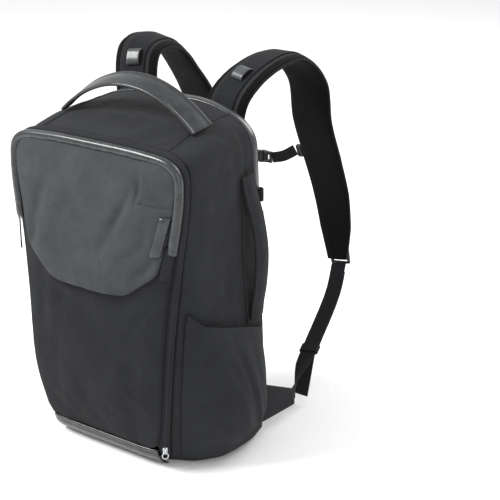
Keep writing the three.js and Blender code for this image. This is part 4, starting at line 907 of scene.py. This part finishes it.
# Top handle: a padded grip of coated cloth that arches over the top, with a rolled lip and a line of
# stitches along both edges.
HANDLE_HALF_SPAN, HANDLE_RISE, HANDLE_Y, HANDLE_TILT = 116, 50, 2, math.radians(20)
HANDLE_BASE_Z, HANDLE_GAP, HANDLE_HALF_WALL = 463, 0.35, 3
handle_foot = HANDLE_BASE_Z + HANDLE_GAP + HANDLE_HALF_WALL
handle_rows = [(share * HANDLE_HALF_SPAN, HANDLE_Y, handle_foot + HANDLE_RISE * (1 - abs(share) ** 2.1))
               for share in (-1, -0.82, -0.55, -0.2, 0.2, 0.55, 0.82, 1)]
handle_axis = (0, math.cos(HANDLE_TILT), math.sin(HANDLE_TILT))
path, along, across, out, _ = routed(handle_rows, [[0]] * 8, 120, handle_axis)
out = out * np.sign(out[60, 2])
HANDLE_PROFILE = [
    (-18, -1.2), (-18.4, 0.4), (-17.6, 2.2), (-16.2, 2.9), (-14.8, 2.5), (-13.6, 1.9), (-9, 2.5), (-3, 2.9),
    (3, 2.9), (9, 2.5), (13.6, 1.9), (14.8, 2.5), (16.2, 2.9), (17.6, 2.2), (18.4, 0.4), (18, -1.2),
    (15, -2.3), (6, -2.8), (-6, -2.8), (-15, -2.3)]
spread_width = 1 - 0.06 * np.cos(np.linspace(-1, 1, 121) * math.pi / 2)
handle = ribbon("grip", path, across, out, HANDLE_PROFILE, trim_cloth, widths=spread_width)
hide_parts("top_handle")
grip_thread = stitches("grip_stitches",
    [(path + across * d * spread_width[:, None] + out * 2.1, out) for d in (-12.6, 12.6)], thread)

# Side handle: padded canvas, sewn down at both ends, that stands off the right side. Stitches run along
# both flat borders.
SIDE_Y, SIDE_TOP, SIDE_LENGTH, SIDE_WIDTH, SIDE_WALL, SIDE_STAND = 64, 398, 206, 28, 8, 15
side_points = []
for down, stand, shift in [(0, 0, -0.3), (0.1, 0.12, -0.25), (0.3, 0.7, -0.1), (0.52, 1, 0),
        (0.75, 0.65, 0.1), (0.92, 0.12, 0.15), (1, 0, 0.15)]:
    z, y = SIDE_TOP - down * SIDE_LENGTH, SIDE_Y + shift * SIDE_WIDTH
    side_points.append((body_side_x(y, z) + 1.15 + SIDE_WALL / 2 + stand * SIDE_STAND, y, z))
path, along, across, out, _ = routed(side_points, [[0]] * 7, 90, (0, 1, 0))
out = out * np.sign(out[45, 0])
ends = np.minimum(1, 0.45 + 6 * np.minimum(np.linspace(0, 1, 91), np.linspace(1, 0, 91)))
SIDE_PROFILE = [
    (-14, 0), (-13.8, 1.6), (-12.6, 2.6), (-11, 2.3), (-9, 3.3), (-4, 4.3), (0, 4.5), (4, 4.3), (9, 3.3),
    (11, 2.3), (12.6, 2.6), (13.8, 1.6), (14, 0), (13.2, -2.2), (9, -3.6), (0, -4.2), (-9, -3.6),
    (-13.2, -2.2)]
side_grip = ribbon("side_grip", path, across, out, SIDE_PROFILE, canvas, heights=ends)
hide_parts("side_handle")
side_thread = stitches("side_grip_stitches",
    [(path[3:-3] + across[3:-3] * d + out[3:-3] * 2.45 * ends[3:-3, None], out[3:-3]) for d in (-11, 11)],
        thread)

# Back: a zip tape, the padded canvas door that it closes, and two pads of spacer mesh with an air channel
# between them. The mesh shows open cells, with painted shade darkening their hollows.


def mesh_cloth(name, dark, light, cell=0.0022):
    """Spacer mesh: a layer of open round cells with painted shade darkening their hollows."""
    m = material_start(name)
    place = add(m, "ShaderNodeTexCoord").outputs["Object"]
    cells = add(m, "ShaderNodeTexVoronoi", {"Scale": 1 / cell, "Randomness": 0.35}, Vector=place)
    fuzz = add(m, "ShaderNodeTexNoise", {"Scale": 1200, "Detail": 2}, Vector=place)
    # Painted shade: the cells darken towards their middles, where the relief is lowest
    ramp = add(m, "ShaderNodeValToRGB", i0=cells)
    ramp.color_ramp.elements[0].position, ramp.color_ramp.elements[1].position = 0.12, 0.5
    ramp.color_ramp.elements[0].color = colour(dark)
    ramp.color_ramp.elements[1].color = colour(light)
    roughness = add(m, "ShaderNodeMapRange", {"To Min": 0.85, "To Max": 1.0}, Value=fuzz)
    height = add(m, "ShaderNodeMath", {"operation": "ADD"}, i0=add(
        m, "ShaderNodeMapRange", {"From Min": 0.1, "From Max": 0.6, "To Min": 0.0, "To Max": 0.7},
            Value=cells), i1=add(
        m, "ShaderNodeMapRange", {"To Min": 0.0, "To Max": 0.2}, Value=fuzz))
    return surface(m, ramp, roughness, 0.6, height, **{"Specular IOR Level": 0.1, "Sheen Weight": 0.02})


air_mesh = mesh_cloth("air_mesh", "#030303", "#0e0e0f")
back_half = body_half(BODY_SECTIONS[-1])
back_from = resample(over_top(inset_half(back_half, 0.8), 46), 360)
back_to = resample(over_top(inset_half(back_half, 5.0), 46), 360)
BACK_PROFILE = [(0, 0.2), (0.05, 1.6), (0.3, 3.2), (0.5, 4.4), (0.7, 5.4), (0.95, 5.6), (1, 0.3)]
back_rows = np.array([[(f[0] + (t[0] - f[0]) * share, BACK_Y + 0.35 + lift, f[1] + (t[1] - f[1]) * share)
                       for share, lift in BACK_PROFILE] for f, t in zip(back_from, back_to)])
back_tape = cloth("back_tape", back_rows, grid_faces(360, len(BACK_PROFILE)), tape_cloth, thick=0.8,
    away=(0, 0, 240))
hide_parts("back_zipper_tape")
DOOR_BACK = BACK_Y + 0.35 + 8
door_outline = resample(np.vstack([inset(whole(back_half), 5.2), inset(whole(back_half), 5.2)[:1]]), 241)[:-1]
door_rings = []
for share, lift in [(0.96, 0.2), (0.99, 0.4), (1.0, 3.0), (0.995, 6.0), (0.98, 7.6), (0.955, 7.2),
        (0.94, 7.4), (0.9, 7.9), (0.7, 8.0), (0.4, 8.0), (0.1, 8.0)]:
    door_rings.append([(x * share, BACK_Y + 0.35 + lift, 241 + (z - 241) * share) for x, z in door_outline])
flat = np.array(door_rings).reshape(-1, 3)
flat[:, 1] += ripple(flat, 60, 0.5, 31)
door_faces = grid_faces(len(door_rings), 240, True) + [tuple(10 * 240 + k for k in range(240))]
door = cloth("door", flat, door_faces, canvas, thick=1.0, away=(0, 0, 241))
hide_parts("back_door")
PAD_WIDTH, PAD_HEIGHT, PAD_FOOT, PAD_WALL, CHANNEL = 88, 290, 62, 12, 34
for side, sign in [("left", -1), ("right", 1)]:
    rows = []
    for up in np.linspace(0, 1, 120):
        row = []
        for a in np.linspace(0, 1, 44):
            full = (1 - abs(2 * up - 1) ** 7) * (1 - abs(2 * a - 1) ** 5)
            quilt = 0.55 * math.exp(-((((up * 5.2) % 1) - 0.5) / 0.1) ** 2) * (0.12 < a < 0.88)
            corner = 1 - 0.12 * abs(2 * up - 1) ** 4
            x = CHANNEL / 2 + a * PAD_WIDTH * corner
            swell = (PAD_WALL - 0.4) * max(0, full) ** 0.55 * (1 - 0.45 * quilt)
            row.append((sign * x, DOOR_BACK + 0.6 + swell, PAD_FOOT + up * PAD_HEIGHT))
        rows.append(row)
    pad = cloth(f"pad_{side}", rows, grid_faces(120, 44), air_mesh, thick=1.0, away=(sign * 60, 90, 200))
    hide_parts(f"back_pad_{side}")

# Shoulder straps: spacer mesh over foam, in the curve that each hangs in, with a canvas face, bound edges
# and ribbed webbing held by bar tacks. Ladder locks, webbing, wings and the chest strap hang from them.
webbing_cloth = woven("webbing_cloth", "#0b0c0d", "#222325", 0.0014, bump=0.8)
coated_cloth = coated("coated_cloth", "#292b2d", "#45484b")
STRAP_REACH, STRAP_WIDTH, STRAP_WALL = 245, 67, 13
STRAP_START = DOOR_BACK + 0.35 + STRAP_WALL / 2
STRAP_ROUTES = {
    # side, back, up, width, wall, twist
    "right": [(0.4, 0.0, 0.83, 0.94, 0.8, 0), (0.44, 0.025, 0.9, 0.97, 1, 0), (0.46, 0.08, 0.99, 1, 1, 0),
              (0.53, 0.24, 1.055, 1, 1, 0), (0.59, 0.52, 1.075, 1, 1, 0), (0.635, 0.715, 0.99, 1, 1, 0),
              (0.65, 0.765, 0.86, 1, 1, 0), (0.67, 0.86, 0.735, 1, 1, 0), (0.71, 0.94, 0.605, 0.94, 0.95, 0),
              (0.755, 0.96, 0.49, 0.8, 0.85, 0), (0.8, 0.95, 0.385, 0.5, 0.6, 0)],
    "left": [(-0.4, 0.0, 0.83, 0.94, 0.8, 0), (-0.46, 0.02, 0.9, 0.97, 1, 0), (-0.58, 0.035, 0.98, 1, 1, 6),
             (-0.66, 0.13, 1.085, 1, 1, 10), (-0.68, 0.35, 1.09, 1, 1, 10), (-0.67, 0.56, 0.985, 1, 1, 6),
             (-0.65, 0.72, 0.86, 1, 1, 0), (-0.67, 0.85, 0.735, 1, 1, 0), (-0.71, 0.93, 0.605, 0.94, 0.95, 0),
             (-0.755, 0.96, 0.49, 0.8, 0.85, 0), (-0.8, 0.95, 0.385, 0.5, 0.6, 0)],
}
WEBBING_ROUTE = [(0.8, 0.966, 0.368, 0), (0.84, 0.86, 0.29, 0), (0.92, 0.56, 0.18, 0),
    (0.97, 0.4, 0.135, 10), (1.03, 0.235, 0.068, 86)]
WEBBING_WIDTH, WEBBING_WALL = 25, 1.6
STRAP_STEPS = 260
TAB_Y, TAB_Z = 84, 364
TAB_ROWS = [(0, -5), (0.5, -4.4), (0.95, -2), (1, 0), (0.95, 2), (0.5, 4.4), (0, 5)]


def flat_band(width, wall):
    """The section of a woven band, with soft edges."""
    half, round_in, edge_in = width / 2, width / 2 - 0.3, width / 2 - 1.2
    upper = [(-round_in, wall * 0.42), (-edge_in, wall / 2), (-width * 0.3, wall * 0.46), (0, wall * 0.5),
             (width * 0.3, wall * 0.46), (edge_in, wall / 2), (round_in, wall * 0.42)]
    lower = [(round_in, -wall * 0.42), (edge_in, -wall / 2), (-edge_in, -wall / 2), (-round_in, -wall * 0.42)]
    return [(-half, 0)] + upper + [(half, 0)] + lower


for side, sign in [("left", -1), ("right", 1)]:
    place = lambda row: (row[0] * HALF_WIDTH, STRAP_START + row[1] * STRAP_REACH, row[2] * HEIGHT)
    table_rows = STRAP_ROUTES[side]
    path, along, across, face, values = routed([place(r) for r in table_rows], [r[3:6] for r in table_rows],
        STRAP_STEPS, (1, 0, 0))
    widths, walls = values[:, 0] * STRAP_WIDTH, values[:, 1] * STRAP_WALL
    outer = -face
    t = np.linspace(0, 1, STRAP_STEPS + 1)
    # Pad: full in the middle, pinched at the bound edges, wrinkled where it bends and at its lower end
    pad_shape = oval(1, 1, 40, 3.2)
    pad_rings = []
    for i in range(STRAP_STEPS + 1):
        ring = path[i] + pad_shape[:, :1] * widths[i] * across[i] + pad_shape[:, 1:] * walls[i] * outer[i]
        pad_rings.append(ring)
    pad_grid = np.array(pad_rings)
    pad_out = normals_of(pad_grid, True)
    mid = pad_grid.mean(axis=1, keepdims=True)
    if ((pad_grid - mid) * pad_out).sum() < 0:
        pad_out = -pad_out
    wrinkle = np.array([[0.5 * math.sin(t[i] * 520 + 2.5 * noise.noise(Vector((k * 0.3, i * 0.04, sign)))) *
                         (math.exp(-((t[i] - 0.9) / 0.06) ** 2) + 0.5 * math.exp(
                             -((t[i] - 0.16) / 0.03) ** 2)) for k in range(40)]
                        for i in range(STRAP_STEPS + 1)])
    swell = wrinkle.reshape(-1) + ripple(pad_grid.reshape(-1, 3), 30, 0.45, 5)
    flat = pad_grid.reshape(-1, 3) + pad_out.reshape(-1, 3) * swell[:, None]
    faces = grid_faces(STRAP_STEPS + 1, 40, True)
    faces += [tuple(range(40)), tuple(STRAP_STEPS * 40 + k for k in range(40))]
    strap = cloth(f"strap_{side}", flat, faces, air_mesh)
    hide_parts(f"shoulder_strap_{side}")
    # Canvas face on the outer side, from the top seam to the lower end, with a bound edge
    first, stop = 12, 244
    face_shape = np.array([
        (-0.5, -0.6), (-0.5, 0.5), (-0.475, 1.1), (-0.44, 0.9), (-0.25, 1.0), (0, 1.1),
        (0.25, 1.0), (0.44, 0.9), (0.475, 1.1), (0.5, 0.5), (0.5, -0.6)])
    rings = []
    for i in range(first, stop):
        w = widths[i] - 19
        lift = walls[i] / 2 * (1 - np.abs(face_shape[:, 0] * w / (widths[i] / 2)) ** 3.2) ** (1 / 3.2) - 0.15
        stand = face_shape[:, 1:] + lift[:, None]
        rings.append(path[i] + face_shape[:, :1] * w * across[i] + stand * outer[i])
    canvas_face = cloth(f"strap_face_{side}", rings, grid_faces(stop - first, 11, True), canvas)
    lines = []
    for edge in (-1, 1):
        w = (widths[first:stop] - 22)[:, None] / 2
        lift = (walls[first:stop] / 2)[:, None] * 0.9 + 1.0
        lines.append((path[first:stop] + across[first:stop] * edge * w + outer[first:stop] * lift,
            outer[first:stop]))
    strap_thread = stitches(f"strap_stitches_{side}", lines, thread)
    for edge in (-1, 1):
        rope = path + across * (edge * (widths / 2 - 0.4))[:, None]
        ribbon(f"strap_binding_{side}_{edge}", rope, across, outer, oval(2.6, 4.2, 10),
            webbing_cloth)
    # Ribbed webbing down the middle, caught by bar tacks
    a, b = int(2 / 26 * STRAP_STEPS), int(11 / 26 * STRAP_STEPS)
    ridges = [(-16 + 32 * k / 24, 0.8 if k % 2 else 0.35) for k in range(25)]
    ribs = [(-17, -0.8), (-17, 0.3)] + ridges + [(17, 0.3), (17, -0.8)]
    lifted = path[a:b] + outer[a:b] * (walls[a:b] / 2 + 1.9)[:, None]
    ribbed = ribbon(f"ribbed_{side}", lifted, across[a:b], outer[a:b], ribs, webbing_cloth)
    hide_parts(f"ribbed_webbing_{side}")
    tacks = []
    for i in range(a + 4, b - 3, 14):
        raised = path[i] + outer[i] * (walls[i] / 2 + 2.75)
        tacks.append((np.array([raised + across[i] * x for x in (-15, 0, 15)]), np.array([outer[i]] * 3)))
    tack_thread = stitches(f"tacks_{side}", tacks, thread, spacing=1.5, length=1.2)
    # Raised loop over the webbing, of smooth coated cloth
    i = int(7 / 26 * STRAP_STEPS)
    base = walls[i] / 2
    loop_shares = np.linspace(-1, 1, 24)
    loop_path = np.array([path[i] + along[i] * share * 12 + outer[i] * (base + 2.6 + 5.2 * (1 - share ** 4))
                          for share in loop_shares])
    loop_out = np.array([outer[i] + along[i] * share ** 3 * 0.8 for share in loop_shares])
    loop_out /= np.linalg.norm(loop_out, axis=1)[:, None]
    strap_loop = ribbon(f"loop_{side}", loop_path, np.array([across[i]] * 24), loop_out, flat_band(20, 1.8),
        coated_cloth)
    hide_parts(f"strap_loop_{side}")
    # Ladder lock: a moulded frame with three cross bars
    e_along, e_across, e_out = along[-1], across[-1], outer[-1]
    foot = path[-1] + e_out * (walls[-1] / 2 + 1.9 + 2.5) + e_along * 24 * 0.35
    up = -e_along
    corner = lambda x, h: foot + e_across * x + up * h
    bars = [bar(corner(-15, 0), corner(-13.5, 24), 4.2, 5, e_out),
        bar(corner(15, 0), corner(13.5, 24), 4.2, 5, e_out)]
    for h, w in [(1.5, 16.5), (12, 15.5), (22.5, 15)]:
        bars.append(bar(corner(-w, h), corner(w, h), 3.6, 5, e_out))
    lock = merged(f"lock_{side}", bars, plastic)
    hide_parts(f"ladder_lock_{side}")
    # Lower webbing to the wing, its tail and the keeper
    at_row = lambda row: (sign * row[0] * HALF_WIDTH, STRAP_START + row[1] * STRAP_REACH, row[2] * HEIGHT)
    w_path, w_along, w_across, w_face, _ = routed([at_row(r) for r in WEBBING_ROUTE],
        [[sign * r[3]] for r in WEBBING_ROUTE], 140, (1, 0, 0))
    lower = ribbon(f"webbing_{side}", w_path, w_across, w_face, flat_band(WEBBING_WIDTH, WEBBING_WALL),
        webbing_cloth)
    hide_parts(f"lower_webbing_{side}")
    k = int(9 / 14 * 140)
    under = w_path - w_face * 2.6
    hang = np.array([0, -0.3, -1.0])
    hang /= np.linalg.norm(hang)
    drop = np.array([under[k] + hang * 62 * share for share in np.linspace(0.1, 1, 20)])
    drop_face = np.array([np.cross(hang, [1, 0, 0])] * 20)
    tail_path = np.vstack([under[10:k + 1], drop])
    tail_across = np.vstack([w_across[10:k + 1], [[1, 0, 0]] * 20])
    tail_face = np.vstack([w_face[10:k + 1], drop_face])
    tail = ribbon(f"tail_{side}", tail_path, tail_across, tail_face, flat_band(WEBBING_WIDTH, WEBBING_WALL),
        webbing_cloth)
    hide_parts(f"webbing_tail_{side}")
    mid_keeper = w_path[k] - w_face[k] * 1.3 - w_along[k] * 11
    frame_path = [mid_keeper + w_across[k] * x + w_face[k] * h for x, h in
                  [(-14, -3.6), (-14.6, -2), (-14.6, 2), (-14, 3.6), (-12, 4.2), (12, 4.2), (14, 3.6),
                      (14.6, 2), (14.6, -2), (14, -3.6), (12, -4.2), (-12, -4.2)]]
    outer_ring = np.array(frame_path)
    inner_ring = mid_keeper + (outer_ring - mid_keeper) * 0.92
    rings = [outer_ring - w_along[k] * 7, outer_ring + w_along[k] * 7, inner_ring + w_along[k] * 7,
        inner_ring - w_along[k] * 7]
    faces = []
    for r in range(4):
        for c in range(12):
            d, n = (c + 1) % 12, (r + 1) % 4
            faces.append((r * 12 + c, r * 12 + d, n * 12 + d, n * 12 + c))
    keeper = cloth(f"keeper_{side}", np.array(rings), faces, webbing_cloth, smooth=False)
    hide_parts(f"webbing_keeper_{side}")
    # Wing: the padded triangle sewn to the lower corner
    tip = np.array(at_row(WEBBING_ROUTE[-1]))
    rows = []
    for share in np.linspace(0, 1, 30):
        row = []
        for up_share in np.linspace(0, 1, 22):
            z = (20 + (tip[2] - 12.5 - 20) * share) * (1 - up_share) + (
                80 + (tip[2] + 12.5 - 80) * share) * up_share
            x0 = width_at(back_half, z) + 0.7 + 3
            x = x0 + (abs(tip[0]) + 5.5 - x0) * min(1, share * 1.1)
            puff = 1.6 * (1 - (2 * share - 1) ** 6) * (1 - (2 * up_share - 1) ** 6)
            row.append((sign * (x + puff), BACK_Y - 2.5 + (tip[1] - 3 - BACK_Y + 2.5) * share, z))
        rows.append(row)
    wing = cloth(f"wing_cloth_{side}", rows, grid_faces(30, 22), canvas, thick=2.6, away=(0, 150, 50))
    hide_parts(f"wing_{side}")
    # Sternum strap: clip on the strap's inner edge, webbing and its half of the buckle
    i = int(18 / 26 * STRAP_STEPS)
    inward = -sign * across[i]
    edge = path[i] + inward * (widths[i] / 2 + 0.35)
    clip_mid = edge + inward * 4.5
    clip = merged(f"clip_{side}", [
        bar(clip_mid - along[i] * 10 + inward * -2.8, clip_mid + along[i] * 10 + inward * -2.8, 3.2, 6.6,
            outer[i]),
        bar(clip_mid - along[i] * 10 + inward * 2.8, clip_mid + along[i] * 10 + inward * 2.8, 3.2, 6.6,
            outer[i]),
        bar(clip_mid - along[i] * 8.6 - inward * 4, clip_mid - along[i] * 8.6 + inward * 4, 3.4, 6, outer[i]),
        bar(clip_mid + along[i] * 8.6 - inward * 4, clip_mid + along[i] * 8.6 + inward * 4, 3.4, 6,
            outer[i])], plastic)
    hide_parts(f"sternum_clip_{side}")
    begin = edge + inward * 13
    low = np.array([0, begin[1] - 10, begin[2] - 16])
    stop_at = np.array([sign * (15 + 2.4), low[1], low[2]])
    sag = (begin + stop_at) / 2 + [0, 0, -3.2]
    s_path, _, s_across, s_face, _ = routed([begin, sag, stop_at], [[0]] * 3, 50, (0, 0, 1))
    chest = ribbon(f"chest_strap_{side}", s_path, s_across, s_face, flat_band(17, WEBBING_WALL),
        webbing_cloth)
    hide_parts(f"sternum_strap_{side}")
    near, far = low + [sign * 0.3, 0, 0], low + [sign * 15, 0, 0]
    z_axis = np.array([0, 0, 1.0])
    y_axis = np.array([0, 1.0, 0])
    parts = [
        bar(near + z_axis * 7.5, far + z_axis * 6, 4.6, 6.8, y_axis),
        bar(near - z_axis * 7.5, far - z_axis * 6, 4.6, 6.8, y_axis),
        bar(far - z_axis * 9, far + z_axis * 9, 3.6, 6.4, y_axis),
        bar(near - z_axis * 9.6, near + z_axis * 9.6, 4.0, 6.8, y_axis),
        bar(low + [sign * 6, 0, -7], low + [sign * 6, 0, 7], 6.5, 5.0, y_axis)]
    half = merged("buckle_plug" if side == "left" else "buckle_socket", parts, plastic)
    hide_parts("sternum_plug" if side == "left" else "sternum_socket")
    # Small loop tab on the back seam
    x = body_side_x(TAB_Y, TAB_Z) + 1.35
    tab_points = [(sign * (x + o * 9), TAB_Y + y, TAB_Z) for o, y in TAB_ROWS]
    t_path, _, t_across, t_face, _ = routed(tab_points, [[0]] * 7, 30, (0, 0, 1))
    tab = ribbon(f"tab_{side}", t_path, t_across, t_face, flat_band(18, 1.4), webbing_cloth)
    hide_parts(f"side_tab_{side}")

# Zip sliders: a small bright metal body with a raised bridge that holds its pull, on the front and back
# tapes.
steel = moulded("steel", "#c9cbce", 0.2, metallic=1.0)
corner_out = math.sqrt(0.5)
SLIDERS = {
    # node: outward direction
    "front_slider_right": (corner_out, -corner_out, 0),
    "front_slider_left": (-corner_out, -corner_out, 0),
    "back_slider_right": (0, 1, 0),
    "back_slider_left": (0, 1, 0),
}
for node, out in SLIDERS.items():
    lo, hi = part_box(node)
    mid, out = (np.array(lo) + np.array(hi)) / 2 / MM, np.array(out)
    side, up = np.cross((0, 0, 1.0), out), np.array([0, 0, 1.0])
    parts = [bar(mid - up * 4.2 - out * 1.4, mid + up * 4.2 - out * 1.4, 6.8, 2.2, out),
             bar(mid - up * 3.1 - out * 0.6, mid - up * 3.1 + out * 2.6, 2.4, 1.5, up),
             bar(mid + up * 3.1 - out * 0.6, mid + up * 3.1 + out * 2.6, 2.4, 1.5, up),
             bar(mid - up * 4.0 + out * 2.3, mid + up * 4.0 + out * 2.3, 2.4, 1.2, out)]
    slider = merged(node.replace("slider", "runner"), parts, steel)
    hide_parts(node)

# Pulls: a bright wire ring on the right slider of the front zip, and thin moulded loops with a short
# toggle on the others.
rubber = moulded("rubber", "#2a2b2d", 0.55)
HINGE, PULL_OUT = np.array([107.07, -77.87, 34.4]), np.array([corner_out, -corner_out, 0])
turns = np.linspace(0, 2 * math.pi, 48, endpoint=False)
lo, hi = (np.array(v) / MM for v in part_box("front_pull_right"))
ring_side = np.array([corner_out, corner_out, 0])
ring_mid = HINGE + PULL_OUT * 0.7
upright = np.array([0, 0, 1])
reach = HINGE[2] - lo[2] - 1.0
small = [ring_mid + ring_side * 2.0 * math.sin(q) + upright * (-2.6 + 2.8 * math.cos(q)) for q in turns]
large = [ring_mid + ring_side * 4.1 * math.sin(q) + upright * (-reach * 0.66 + reach * 0.31 * math.cos(q))
         for q in turns]
metal_pull = merged("ring_pull", [loop_rope(small, 0.75, 10), loop_rope(large, 0.95, 10)], steel,
    body="metal_pull")
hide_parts("front_pull_right")
for node in ("front_pull_left", "back_pull_left", "back_pull_right"):
    lo, hi = (np.array(v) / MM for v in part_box(node))
    mid, tall, wide = (lo + hi) / 2, hi[2] - lo[2], min(7.5, hi[0] - lo[0])
    flat_side = np.array([corner_out, -corner_out, 0]) if node.startswith("front") else np.array([1.0, 0, 0])
    flare = [wide / 2 * math.sin(q) * (0.45 + 0.55 * (1 - math.cos(q)) / 2) for q in turns]
    drop_path = [mid + flat_side * x + upright * (tall / 2 - 1.3) * math.cos(q) for q, x in zip(turns, flare)]
    toggle_foot, toggle_top = mid + upright * (-tall / 2 + 1.5), mid + upright * (-tall / 2 + 11)
    toggle = bar(toggle_foot, toggle_top, 4.4, 2.6, np.cross(flat_side, (0, 0, 1.0)))
    soft = merged(node + "_loop", [loop_rope(drop_path, 1.05), toggle], rubber)
    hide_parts(node)
